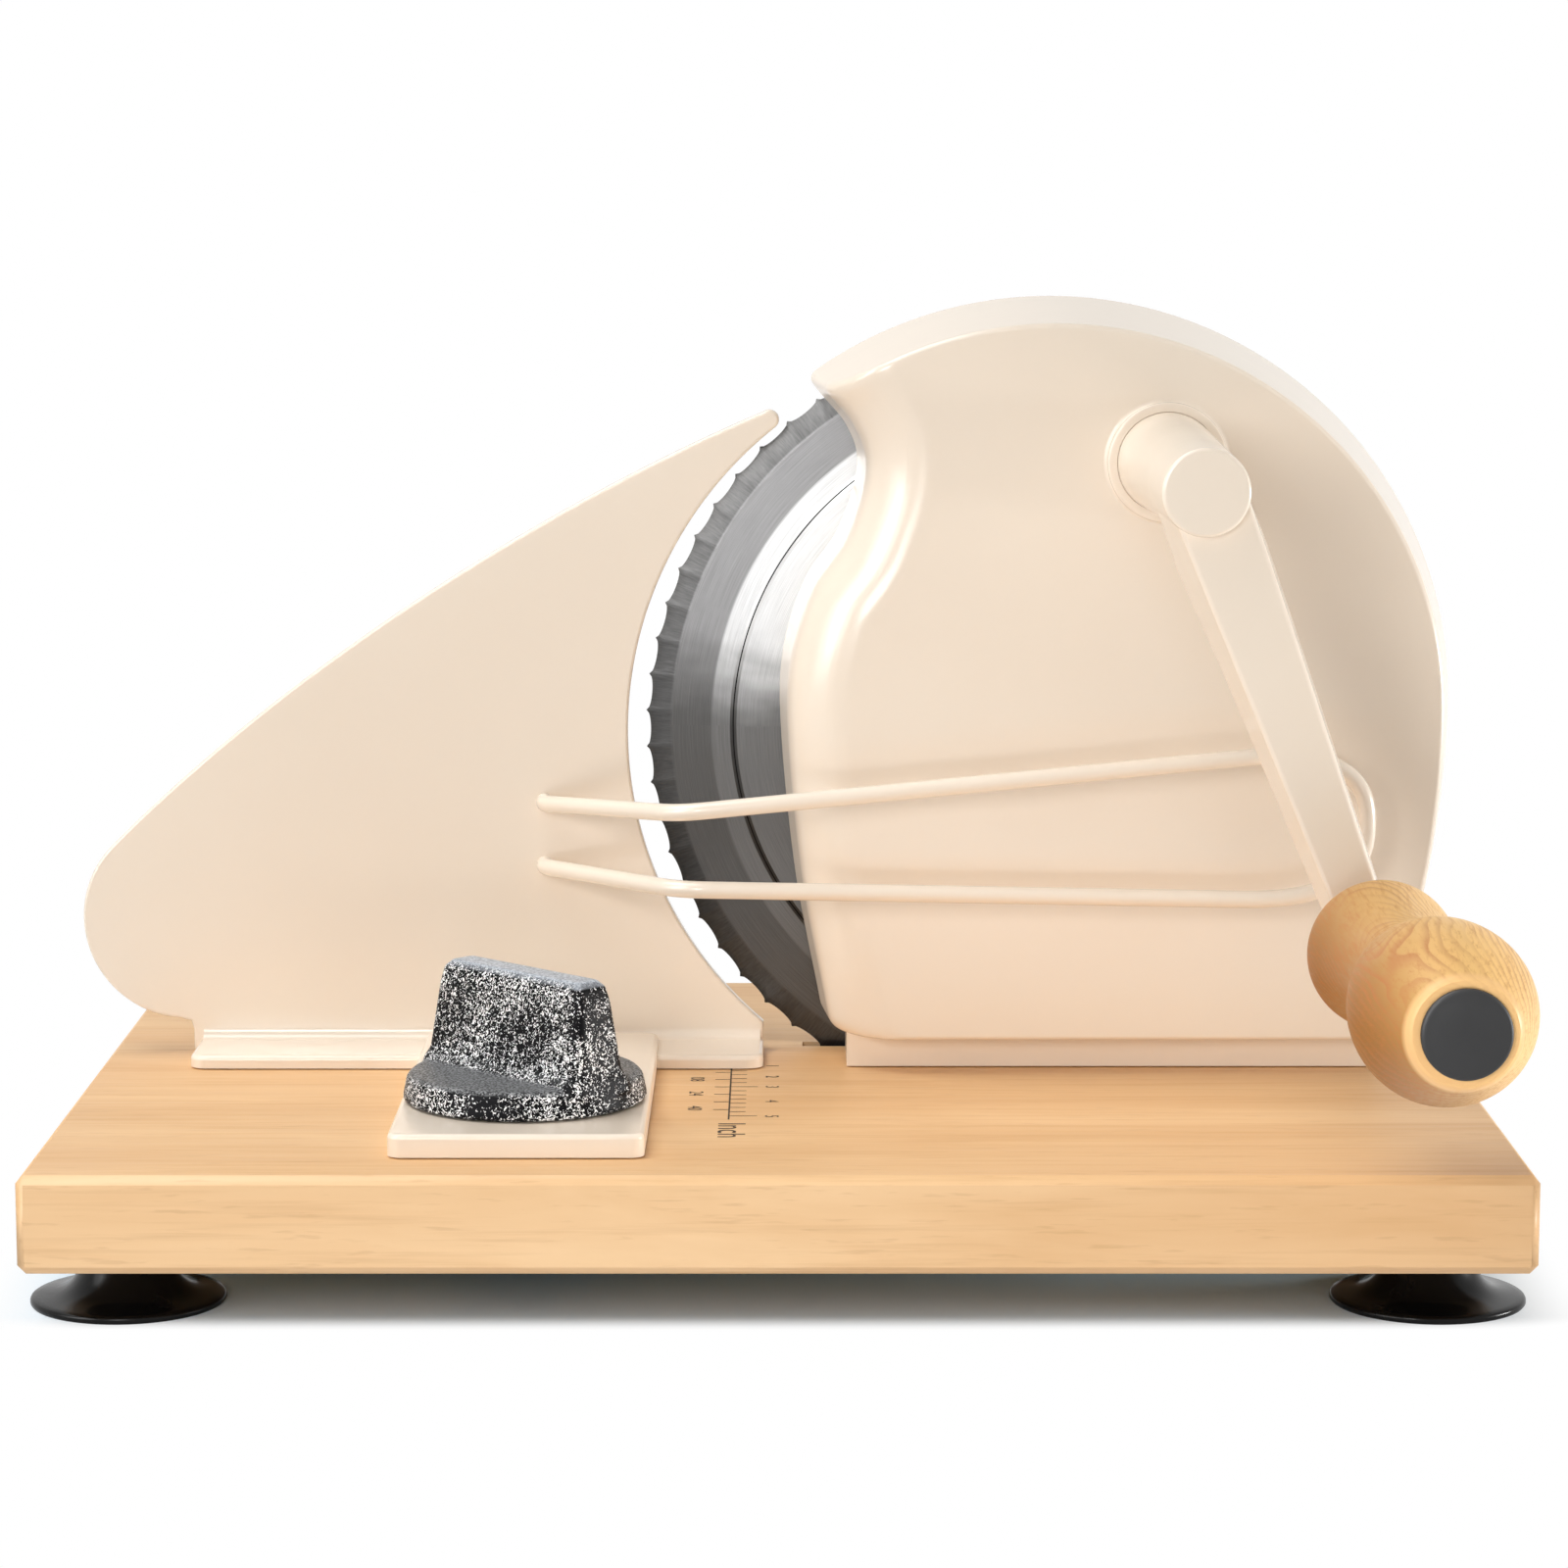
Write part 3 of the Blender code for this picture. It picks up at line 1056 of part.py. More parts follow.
def make_handle(grip_seat, handle_body):
    centre = (HANDLE_X, HANDLE_Z)
    bore = HANDLE_BOLT_RADIUS + RUN_GAP
    pocket = HANDLE_BOLT_HEAD_RADIUS + 4 * RUN_GAP
    outside = [(radius, GRIP_REAR_Y - reach * HANDLE_LENGTH / GRIP_PROFILE[-1][0])
               for reach, radius in GRIP_PROFILE]
    grip = turned([(bore, GRIP_REAR_Y), *outside, (pocket, GRIP_FRONT_Y), (pocket, CAP_POCKET_Y),
                   (bore, CAP_POCKET_Y)], centre, LARGE_SIDES)
    shade_round(add_piece("wooden_handle", grip, handle_body, "grip_wood"))
    cap_rear = GRIP_FRONT_Y - SEAT_GAP
    cap_edge = cap_rear - CAP_RIM
    plug_end = GRIP_FRONT_Y + CAP_PLUG_LENGTH
    cap = turned(((0, plug_end), (CAP_PLUG_RADIUS, plug_end), (CAP_PLUG_RADIUS, cap_rear),
                  (CAP_RADIUS, cap_rear), (CAP_RADIUS, cap_edge),
                  (CAP_RADIUS * 0.9, cap_edge - CAP_DOME * 0.45),
                  (CAP_RADIUS * 0.55, cap_edge - CAP_DOME * 0.85), (0, CAP_FRONT_Y)), centre, MID_SIDES)
    shade_round(add_piece("handle_end_cap", cap, handle_body, "cap_plastic"), 50)

    washer_rear = EYE_FRONT_Y - SEAT_GAP
    shade_round(add_piece("handle_washer", collar(HANDLE_WASHER_RADIUS, bore,
                                                  washer_rear - HANDLE_WASHER_THICKNESS, washer_rear,
                                                  centre), grip_seat, "plain_steel"))
    nut_start = EYE_REAR_Y + SEAT_GAP
    nut_end = nut_start + HANDLE_NUT_THICKNESS
    bolt_end = nut_end + HANDLE_BOLT_SPARE
    head_rear = CAP_POCKET_Y - SEAT_GAP
    head_front = head_rear - HANDLE_BOLT_HEAD
    bolt = turned(((0, head_front), (HANDLE_BOLT_HEAD_RADIUS - 0.0008, head_front),
                   (HANDLE_BOLT_HEAD_RADIUS, head_front + 0.0008),
                   (HANDLE_BOLT_HEAD_RADIUS, head_rear), (HANDLE_BOLT_RADIUS, head_rear),
                   (HANDLE_BOLT_RADIUS, bolt_end - 0.0006), (HANDLE_BOLT_RADIUS - 0.0006, bolt_end),
                   (0, bolt_end)), centre, SMALL_SIDES)
    shade_round(add_piece("handle_bolt", bolt, grip_seat, "plain_steel"))
    nut = add_piece("handle_nut", extruded(arc(centre, HANDLE_NUT_RADIUS, 0, math.pi * 5 / 3, 5),
                                           nut_start, nut_end), grip_seat, "plain_steel")
    cut(nut, rod(HANDLE_BOLT_RADIUS + SEAT_GAP, nut_start - 0.01, nut_end + 0.01, centre), "thread")


# Stop plate

def plate_outline():
    """The fin's outline, anticlockwise from the foot's right end."""
    arc_centre = (ARC_X, BOARD_TOP + ARC_RISE)
    toe = math.pi + math.asin((ARC_RISE - TOE_HEIGHT) / ARC_RADIUS)
    hollow = arc(arc_centre, ARC_RADIUS, toe, TIP_ANGLE, 26)
    radial = Vector((math.cos(TIP_ANGLE), math.sin(TIP_ANGLE)))
    along = Vector((radial.y, -radial.x))
    low_tip = Vector(hollow[-1])
    high_tip = low_tip + radial * TIP_WIDTH
    middle = (low_tip + high_tip) / 2
    tip = []
    for step in range(1, 5):
        turn = math.pi * step / 5
        tip.append(tuple(middle - radial * (TIP_WIDTH / 2 * math.cos(turn))
                         + along * (TIP_WIDTH / 2 * math.sin(turn))))
    nose_centre = (NOSE_X, NOSE_Z)
    nose_top = Vector(arc(nose_centre, NOSE_RADIUS, NOSE_ANGLE, NOSE_ANGLE, 1)[0])
    leaving = Vector((math.sin(NOSE_ANGLE), -math.cos(NOSE_ANGLE)))
    arriving = Vector((math.cos(TIP_SLOPE), math.sin(TIP_SLOPE)))
    brow = bezier(high_tip, high_tip - arriving * BROW_HANDLE, nose_top + leaving * BROW_HANDLE,
                  nose_top, 16)
    nose = arc(nose_centre, NOSE_RADIUS, NOSE_ANGLE, math.pi, 4)
    nose += arc(nose_centre, NOSE_RADIUS, math.pi, math.radians(265), 8)[1:]
    underside = NOSE_Z - NOSE_RADIUS
    heel = [(PLATE_FOOT_LEFT - 0.0006, underside - 0.0006), (PLATE_FOOT_LEFT, underside - 0.0025)]
    foot = [(PLATE_FOOT_LEFT, PLATE_BOTTOM), (PLATE_FOOT_RIGHT, PLATE_BOTTOM)]
    return hollow + tip + brow + nose[1:] + heel + foot


def rounded_block(low, high, corner, lift, steps=3):
    """A plate with rounded corners in plan and an eased top edge."""
    rings = []
    for inset, z in ((0, low[2]), (0, high[2] - lift), (lift * 0.3, high[2] - lift * 0.3), (lift, high[2])):
        radius = max(corner - inset, 0.0004)
        ring = []
        for x, y, start in ((high[0], high[1], 0), (low[0], high[1], 1), (low[0], low[1], 2),
                            (high[0], low[1], 3)):
            side_x = -1 if x == high[0] else 1
            side_y = -1 if y == high[1] else 1
            middle = (x + side_x * (inset + radius), y + side_y * (inset + radius))
            for step in range(steps + 1):
                angle = math.pi / 2 * (start + step / steps)
                ring.append((middle[0] + radius * math.cos(angle), middle[1] + radius * math.sin(angle), z))
        rings.append(ring)
    return lofted(rings)


def fillet_strip(start_x, end_x):
    """Hollow fillet between the flange's top and the plate's front face."""
    top = PLATE_BOTTOM + FLANGE_THICKNESS
    inside = 0.0008
    profile = [(PLATE_FRONT_Y + inside, top - inside)]
    for step in range(4):
        turn = math.pi / 2 * step / 3
        profile.append((PLATE_FRONT_Y - FLANGE_FILLET * (1 - math.sin(turn)),
                        top + FLANGE_FILLET * (1 - math.cos(turn))))
    profile.insert(1, (PLATE_FRONT_Y - FLANGE_FILLET, top - inside))
    profile.append((PLATE_FRONT_Y + inside, top + FLANGE_FILLET))
    return lofted([[(x, y, z) for y, z in profile] for x in (start_x, end_x)])


def make_stop_plate(plate_body):
    plate = add_piece("stop_plate", extruded(plate_outline(), PLATE_FRONT_Y, PLATE_REAR_Y),
                      plate_body, "cream_enamel")
    round_edges(plate, PLATE_EDGE, 2, 60)
    flange = rounded_block((PLATE_FOOT_LEFT + FLANGE_INSET, FLANGE_FRONT_Y, PLATE_BOTTOM),
                           (PLATE_FOOT_RIGHT, PLATE_REAR_Y - PLATE_EDGE, PLATE_BOTTOM + FLANGE_THICKNESS),
                           FLANGE_CORNER, FLANGE_EDGE)
    join(plate, flange, "flange")
    join(plate, fillet_strip(PLATE_FOOT_LEFT + FLANGE_INSET + PLATE_EDGE,
                             PLATE_FOOT_RIGHT - PLATE_EDGE), "fillet")
    half = PAD_WIDTH / 2
    pad = rounded_block((KNOB_X - half, PAD_FRONT_Y, PLATE_BOTTOM),
                        (KNOB_X + half, PLATE_FRONT_Y - FLANGE_FILLET, PAD_TOP), PAD_CORNER, FLANGE_EDGE)
    join(plate, pad, "pad")
    key = SLOT_WIDTH / 2 - KEY_SIDE_PLAY
    keys = [block((KNOB_X - key, KNOB_Y + start, PLATE_BOTTOM - KEY_DROP),
                  (KNOB_X + key, KNOB_Y + end, PLATE_BOTTOM + FLANGE_THICKNESS / 2))
            for start, end in ((FRONT_KEY_START, FRONT_KEY_END), (REAR_KEY_START, REAR_KEY_END))]
    join(plate, merged(keys), "guide_keys")
    cut(plate, rod(LOCK_STUD_RADIUS + SEAT_GAP, PLATE_BOTTOM - 0.002, PAD_TOP + 0.01, (KNOB_X, KNOB_Y),
                   axis="Z"), "stud_hole")
    sockets = [rod(WIRE_RADIUS + SEAT_GAP, PLATE_FRONT_Y - 0.01, PLATE_FRONT_Y + WIRE_SOCKET,
                   (GUARD_LEFT_X, BOARD_TOP + rise), FINE_SIDES) for rise in (UPPER_ROD_RISE, LOWER_ROD_RISE)]
    cut(plate, merged(sockets), "wire_sockets")
    shade_round(plate, 30)


def bent_path(corners, bends, steps=5):
    """A path through corners, each rounded from so far before to so far after."""
    corners = [Vector(corner) for corner in corners]
    path = [corners[0]]
    for before, corner, after, (run_in, run_out) in zip(corners, corners[1:], corners[2:], bends):
        arriving = (corner - before).normalized()
        leaving = (after - corner).normalized()
        start, end = corner - arriving * run_in, corner + leaving * run_out
        for step in range(steps + 1):
            t = step / steps
            path.append(start * (1 - t) ** 2 + corner * (2 * t * (1 - t)) + end * t ** 2)
    path.append(corners[-1])
    return path


def make_slice_guard(plate_body):
    rod_y = PLATE_FRONT_Y - GUARD_REACH
    root_y = PLATE_FRONT_Y + WIRE_SOCKET - SEAT_GAP
    elbow_y = PLATE_FRONT_Y - 0.0035
    loop_x = GUARD_RIGHT_X
    corners = [
        (GUARD_LEFT_X, root_y, BOARD_TOP + UPPER_ROD_RISE),
        (GUARD_LEFT_X, elbow_y, BOARD_TOP + UPPER_ROD_RISE),
        (GUARD_BEND_X, rod_y, BOARD_TOP + UPPER_BEND_RISE),
        (loop_x, rod_y, BOARD_TOP + UPPER_END_RISE),
        (loop_x, rod_y, BOARD_TOP + LOWER_END_RISE),
        (GUARD_BEND_X, rod_y, BOARD_TOP + LOWER_BEND_RISE),
        (GUARD_LEFT_X, elbow_y, BOARD_TOP + LOWER_ROD_RISE),
        (GUARD_LEFT_X, root_y, BOARD_TOP + LOWER_ROD_RISE),
    ]
    small = WIRE_RADIUS * 1.3
    bends = ((small, small), (WIRE_BEND, WIRE_BEND), (LOOP_RUN, LOOP_BEND), (LOOP_BEND, LOOP_RUN),
             (WIRE_BEND, WIRE_BEND), (small, small))
    curve = bpy.data.curves.new("slice_guard", "CURVE")
    curve.dimensions = "3D"
    curve.bevel_depth = WIRE_RADIUS
    curve.bevel_resolution = 2
    curve.use_fill_caps = True
    line = curve.splines.new("POLY")
    path = bent_path(corners, bends)
    line.points.add(len(path) - 1)
    origin = Vector(plate_body["place"])
    for point, place in zip(line.points, path):
        point.co = (*(place - origin), 1)
    guard = bpy.data.objects.new("slice_guard", curve)
    bpy.context.scene.collection.objects.link(guard)
    guard.parent = plate_body
    curve.materials.append(finish("cream_enamel"))


# Lock

def wing_ring(half_length, half_thickness, corner, z):
    ring = []
    for quarter, (side_x, side_y) in enumerate(((1, 1), (-1, 1), (-1, -1), (1, -1))):
        middle = Vector((side_x * (half_length - corner), side_y * (half_thickness - corner)))
        for step in range(4):
            angle = math.pi / 2 * (quarter + step / 3)
            flat = middle + Vector((math.cos(angle), math.sin(angle))) * corner
            turned_flat = Matrix.Rotation(WING_TURN, 2) @ flat
            ring.append((KNOB_X + turned_flat.x, KNOB_Y + turned_flat.y, z))
    return ring


def make_lock(plate_body, lock_body):
    centre = (KNOB_X, KNOB_Y)
    rim_top = KNOB_BOTTOM + KNOB_RIM_HEIGHT
    wing_top = PAD_TOP + WING_RISE
    washer_pocket = SEAT_GAP + LOCK_WASHER_THICKNESS
    pocket_radius = LOCK_WASHER_RADIUS + 2 * SEAT_GAP
    bore = LOCK_STUD_RADIUS + SEAT_GAP
    stud_top = KNOB_BOTTOM + washer_pocket + LOCK_STUD_IN_KNOB
    disc = turned(((0, KNOB_BOTTOM + washer_pocket), (pocket_radius, KNOB_BOTTOM + washer_pocket),
                   (pocket_radius, KNOB_BOTTOM), (KNOB_RADIUS - 0.0008, KNOB_BOTTOM),
                   (KNOB_RADIUS, KNOB_BOTTOM + 0.0008), (KNOB_TOP_RADIUS + 0.0006, rim_top - 0.0016),
                   (KNOB_TOP_RADIUS - 0.0012, rim_top), (0, rim_top)), centre, LARGE_SIDES, "Z")
    knob = add_piece("lock_knob", disc, lock_body, "speckled_grey")
    rings = [wing_ring(length, thickness, corner, rim_top + (wing_top - rim_top) * share)
             for share, length, thickness, corner in WING_SECTIONS]
    join(knob, lofted(rings), "wing")
    cut(knob, rod(bore, KNOB_BOTTOM - 0.01, stud_top + SEAT_GAP, centre, axis="Z"), "stud_bore")
    shade_round(knob, 40)
    washer_low = PAD_TOP + SEAT_GAP
    shade_round(add_piece("lock_washer", collar(LOCK_WASHER_RADIUS, bore, washer_low,
                                                washer_low + LOCK_WASHER_THICKNESS, centre, MID_SIDES,
                                                "Z"), plate_body, "plain_steel"))
    nut_low = NUT_TOP - NUT_THICKNESS
    shade_round(add_piece("lock_stud", rod(LOCK_STUD_RADIUS, nut_low - 0.0006, stud_top, centre,
                                           axis="Z", chamfer=0.0006), lock_body, "plain_steel"))
    half = NUT_SIDE / 2
    nut = add_piece("clamp_nut", block((KNOB_X - half, KNOB_Y - half, nut_low),
                                       (KNOB_X + half, KNOB_Y + half, NUT_TOP)), plate_body,
                    "plain_steel")
    cut(nut, rod(bore, nut_low - 0.01, NUT_TOP + 0.01, centre, axis="Z"), "thread")


def build():
    clear_scene()
    frame = body_empty("slicer_frame", (0, 0, 0))
    crank = body_empty("crank_axis", (CRANK_X, 0, CRANK_Z), frame)
    seat_place = (HANDLE_X, ARM_FRONT_Y, HANDLE_Z)
    grip_seat = body_empty("grip_seat", seat_place, crank, (-GRIP_LIFT, 0, GRIP_SPLAY))
    handle = body_empty("handle_axis", seat_place, grip_seat)
    blade = body_empty("blade_axis", (BLADE_X, 0, BLADE_Z), frame)
    plate = body_empty("plate_slide", (KNOB_X, PLATE_REAR_Y, BOARD_TOP), frame)
    lock = body_empty("lock_axis", (KNOB_X, KNOB_Y, BOARD_TOP), plate)
    make_board(frame)
    make_feet(frame)
    make_housing(frame)
    make_housing_screws(frame)
    make_blade_drive(frame, blade)
    make_blade(blade)
    make_crank_drive(frame, crank)
    make_crank_arm(crank, grip_seat)
    make_handle(grip_seat, handle)
    make_stop_plate(plate)
    make_slice_guard(plate)
    make_lock(plate, lock)
    bpy.context.view_layer.update()


build()
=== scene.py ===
import json
from math import asin, atan2, cos, pi, radians, sin, sqrt

import bmesh
import bpy
from mathutils import Matrix, Vector


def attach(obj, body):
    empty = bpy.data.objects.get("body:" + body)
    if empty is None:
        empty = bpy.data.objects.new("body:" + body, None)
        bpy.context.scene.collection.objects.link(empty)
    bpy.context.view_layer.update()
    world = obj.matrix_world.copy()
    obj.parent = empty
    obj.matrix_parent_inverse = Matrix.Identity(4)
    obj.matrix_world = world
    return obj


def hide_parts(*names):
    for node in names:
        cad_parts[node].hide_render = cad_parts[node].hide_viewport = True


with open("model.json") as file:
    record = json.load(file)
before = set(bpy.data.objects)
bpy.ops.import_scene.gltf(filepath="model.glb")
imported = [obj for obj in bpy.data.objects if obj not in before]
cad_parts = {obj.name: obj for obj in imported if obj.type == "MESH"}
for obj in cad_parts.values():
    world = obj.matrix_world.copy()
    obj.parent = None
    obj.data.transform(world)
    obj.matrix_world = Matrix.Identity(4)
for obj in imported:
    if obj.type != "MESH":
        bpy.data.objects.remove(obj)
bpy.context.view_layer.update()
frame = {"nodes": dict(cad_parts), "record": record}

# Sizes in metres, in the machine's own frame: X from the middle of the board,
# Y from the board's front face, Z from the floor. SHIFT carries them to the model's frame.
SHIFT = Vector((0.00104618, -0.0616, 0))

SEAT_GAP = 0.0003
OVERRUN = 0.01  # how far a cutting tool runs past a face
BOARD_LENGTH = 0.32
BOARD_DEPTH = 0.22
BOARD_THICKNESS = 0.0212
BOARD_EDGE = 0.0018
FOOT_HEIGHT = 0.0148
BOARD_TOP = FOOT_HEIGHT + BOARD_THICKNESS
FOOT_RADIUS = 0.0213
FOOT_NECK_RADIUS = 0.0103
FOOT_LIP_HEIGHT = 0.0016
FOOT_SKIRT_RISE = 0.0016
FOOT_NECK_RISE = 0.0053
FOOT_RIM_WIDTH = 0.0024
FOOT_DOME = 0.0036
FOOT_X = 0.142
FOOT_FACE_INSET = 0.0365
FOOT_PLACES = {
    f"{row}_{side}": (x, y) for side, x in (("left", -FOOT_X), ("right", FOOT_X))
    for row, y in (("front", FOOT_FACE_INSET), ("rear", BOARD_DEPTH - FOOT_FACE_INSET))
}
STUD_RADIUS = 0.003
STUD_HOLE_DEPTH = 0.0123
STUD_SOCKET_DEPTH = 0.008
SCREW_HOLE = 0.0028
SCREW_HEAD_HOLE = 0.0068
POCKET_DEPTH = 0.007
BLADE_SLOT_GAP = 0.002
BLADE_SLOT_END_GAP = 0.003
# Half width, then front and rear ends from the knob's axis
LOCK_SLOT = (0.005, -0.0286, 0.0616)
NUT_GROOVE = (0.0124, -0.0264, 0.0184)

INK_RISE = 0.00005
SCALE_X = -0.011
SCALE_FRONT_Y = 0.0553
SCALE_REAR_Y = 0.124
SCALE_LINE_HALF = 0.00019
# Y of tick 0, step, numbers, reach, reach of every seventh, half width
TICKS = (
    (0.0979, 0.00806, range(-1, 5), -0.0036, -0.0036, 0.00022),
    (0.09006, 0.004434, range(-4, 8), 0.0037, 0.0063, 0.0002),
)
# Words, left end, rear end, size; the photo's digits can't be read, so these are guesses
SCALE_WORDS = (
    ("08", -0.0203, 0.1006, 0.0047), ("24", -0.0203, 0.085, 0.0047), ("40", -0.0203, 0.0694, 0.0047),
    ("1", -0.0029, 0.1145, 0.0044), ("2", -0.0029, 0.1022, 0.0044), ("3", -0.0029, 0.091, 0.0044),
    ("4", -0.0029, 0.0755, 0.0044), ("5", -0.0029, 0.0597, 0.0044), ("Inch", -0.0132, 0.052, 0.0088),
)

BLADE_RADIUS = 0.0946
BLADE_THICKNESS = 0.0012
SCALLOPS = 68
SCALLOP_DEPTH = 0.00115
SCALLOP_PHASE = radians(3.1)
BLADE_BEVEL = 0.006
EDGE_THICKNESS = 0.0002
DISH_RADIUS = 0.073
DISH_DEPTH = 0.002
DISH_SLOPE = 0.0016
BLADE_X = 0.063
BLADE_Z = BOARD_TOP + 0.0775
CUT_Y = 0.14
BLADE_BORE = 0.0063
BLADE_SCREW_CIRCLE = 0.016
BLADE_SCREW_HOLE = 0.0023
BLADE_BEND = 0.0004
BLADE_INNER_RING = 0.02
DISH_REAR_Y = CUT_Y - DISH_DEPTH
DISH_FRONT_Y = DISH_REAR_Y - BLADE_THICKNESS

CENTRE_DISTANCE = 0.07
CRANK_DIRECTION = radians(68.3)
CRANK_X = BLADE_X + CENTRE_DISTANCE * cos(CRANK_DIRECTION)
CRANK_Z = BLADE_Z + CENTRE_DISTANCE * sin(CRANK_DIRECTION)

HOUSING_DEPTH = 0.0315
HOUSING_WALL = 0.0035
HOUSING_FACE_WALL = 0.004
HOUSING_REAR_Y = DISH_FRONT_Y - 0.0013
HOUSING_FACE_Y = HOUSING_REAR_Y - HOUSING_DEPTH
HOUSING_BOTTOM = BOARD_TOP + 0.008
RIM_X = BLADE_X + 0.0005
RIM_Z = BLADE_Z + 0.0065
RIM_RADIUS = BLADE_RADIUS + 0.00094
RIM_DRAFT = 0.0056
RIM_FILLET = 0.0012
COWL_DRAFT = 0.003
COWL_FILLET = 0.014
FLANK_RADIUS = 0.218
COWL_COVER = 0.0625
# Degrees about the blade's axis, distance beyond COWL_COVER
COWL_EDGE = (
    (-127.1, 0.0246), (-149.3, 0.0061), (180.0, 0.0), (163.0, 0.0023),
    (148.2, 0.0045), (135.9, 0.0057), (125.7, 0.0139), (123.3, 0.0231),
    (124.0, 0.0347),
)
# The edge is drawn on past its ends, below the floor and into the rim
COWL_FOOT_LEAN = 0.1
COWL_FOOT_Z = HOUSING_BOTTOM - 0.012
COWL_OVERSHOOT = RIM_RADIUS * 0.3
BEAK_TRIM = 0.0028
FOOT_CORNER_TRIM = 0.004
REAR_EDGE_ROUND = 0.0006
REAR_EDGE_INSET = REAR_EDGE_ROUND * 0.8
PLINTH_FRONT_Y = HOUSING_FACE_Y + 0.008
HOUSING_SCREW_Y = (PLINTH_FRONT_Y + HOUSING_REAR_Y) / 2
HOUSING_SCREW_X = (BLADE_X - 0.037, BLADE_X + 0.015, BLADE_X + 0.066)
PLINTH_LEFT_X = BLADE_X - 0.047
PLINTH_RIGHT_X = BLADE_X + 0.077
SCREW_BOSS_RADIUS = 0.0055
SCREW_BOSS_TOP = BOARD_TOP + 0.015
SCREW_HOLE_TOP = BOARD_TOP + 0.0133
AXLE_BOSS_RADIUS = 0.013
AXLE_SEAT_RADIUS = 0.0063
AXLE_SEAT_Y = HOUSING_FACE_Y + 0.0025
CRANK_BOSS_RADIUS = 0.0117

LIP_RADIUS = 0.0137
LIP_BORE = 0.01156
LIP_HEIGHT = 0.002
LIP_FILLET = 0.001
LIP_FILLET_RISE = LIP_FILLET * 0.8
LIP_EDGE = 0.0006
SHARP_EDGE = 0.0001
SHAFT_RADIUS = 0.005
BUSH_RADIUS = 0.008
CRANK_BOSS_END_Y = 0.1205
AXLE_BOSS_END_Y = 0.1196
HUB_REAR_Y = HOUSING_FACE_Y - 0.0018
HUB_FRONT_Y = HUB_REAR_Y - 0.0922
HUB_REAR_RADIUS = 0.0115
HUB_FRONT_RADIUS = 0.0093
HUB_EDGE = 0.0009
SHAFT_FRONT_Y = HUB_REAR_Y - 0.046
CRANK_RADIUS = 0.1028
CRANK_TURN = radians(21.0)
ARM_FRONT_Y = HUB_FRONT_Y + 0.0025
# Distance from the crank's axis, half width in front and behind, depth
ARM_SECTIONS = (
    (0.0, 0.008, 0.0094, 0.0255), (0.016, 0.0076, 0.01, 0.0255),
    (0.038, 0.0069, 0.0089, 0.019), (0.086, 0.0053, 0.007, 0.0185),
    (CRANK_RADIUS, 0.0047, 0.0064, 0.0185),
)
ARM_EDGE = 0.001
SET_SCREW_Y = HUB_REAR_Y - 0.026
SET_SCREW_TURN = radians(45)
BOLT_HOLE = 0.0043
EYE_RADIUS = 0.0082
EYE_EDGE = 0.0006
EYE_FRONT_Y = ARM_FRONT_Y - 0.0006
EYE_REAR_Y = ARM_FRONT_Y + 0.0191
HANDLE_X = CRANK_X + CRANK_RADIUS * sin(CRANK_TURN)
HANDLE_Z = CRANK_Z - CRANK_RADIUS * cos(CRANK_TURN)
GRIP_LIFT = radians(1.6)
GRIP_SPLAY = radians(1.4)
GRIP_REAR_Y = EYE_FRONT_Y - 0.0016
HANDLE_LENGTH = 0.105
GRIP_FRONT_Y = GRIP_REAR_Y - HANDLE_LENGTH
CAP_RADIUS = 0.0087
CAP_SIDE = 0.0012
CAP_DOME = 0.0006
PLUG_RADIUS = 0.0074
PLUG_DEPTH = 0.005
PLUG_HOLE = 0.008
PLUG_HOLE_DEPTH = 0.0115
# Distance from the grip's rear end, radius
GRIP_PROFILE = (
    (0.0, 0.0115), (0.0012, 0.0137), (0.004, 0.0151), (0.008, 0.0156),
    (0.0135, 0.0152), (0.0225, 0.0139), (0.0325, 0.0127), (0.0415, 0.0123),
    (0.051, 0.0131), (0.061, 0.0152), (0.071, 0.0173), (0.08, 0.018),
    (0.087, 0.0173), (0.094, 0.0153), (0.1, 0.0128), (0.104, 0.0109),
    (0.105, 0.0101),
)

PLATE_REAR_Y = CUT_Y - 0.006
PLATE_FRONT_Y = PLATE_REAR_Y - 0.004
PLATE_BOTTOM = BOARD_TOP + SEAT_GAP
PLATE_EDGE = 0.0008
ARC_X = BLADE_X - 0.00685
ARC_RISE = 0.0769
ARC_RADIUS = 0.0918
TIP_ANGLE = radians(128.3)
TIP_WIDTH = 0.0046
TIP_SLOPE = radians(23)
NOSE_RADIUS = 0.0245
NOSE_ANGLE = radians(135)
NOSE_END_ANGLE = radians(265)
HEEL_STEP = 0.0006
HEEL_DROP = 0.0025
BROW_HANDLE = 0.058
TOE_HEIGHT = 0.0072
PLATE_FOOT_RIGHT = ARC_X - sqrt(ARC_RADIUS ** 2 - (ARC_RISE - TOE_HEIGHT) ** 2)
PLATE_FOOT_LEFT = PLATE_FOOT_RIGHT - 0.136
NOSE_X = PLATE_FOOT_LEFT - 0.0013
NOSE_Z = BOARD_TOP + 0.0325
FLANGE_THICKNESS = 0.003
FLANGE_FRONT_Y = PLATE_FRONT_Y - 0.021
FLANGE_EDGE = 0.0012
FLANGE_FILLET = 0.0025
FILLET_OVERLAP = 0.0008
FLANGE_CORNER = 0.0038
FLANGE_INSET = 0.0016
PAD_WIDTH = 0.055
PAD_TOP = PLATE_BOTTOM + 0.005
PAD_FRONT_Y = 0.0165
PAD_CORNER = 0.003
RUNNER_HALF = 0.0047
RUNNER_DROP = 0.008
RUNNERS = ((-0.014, -0.007), (0.007, 0.055))

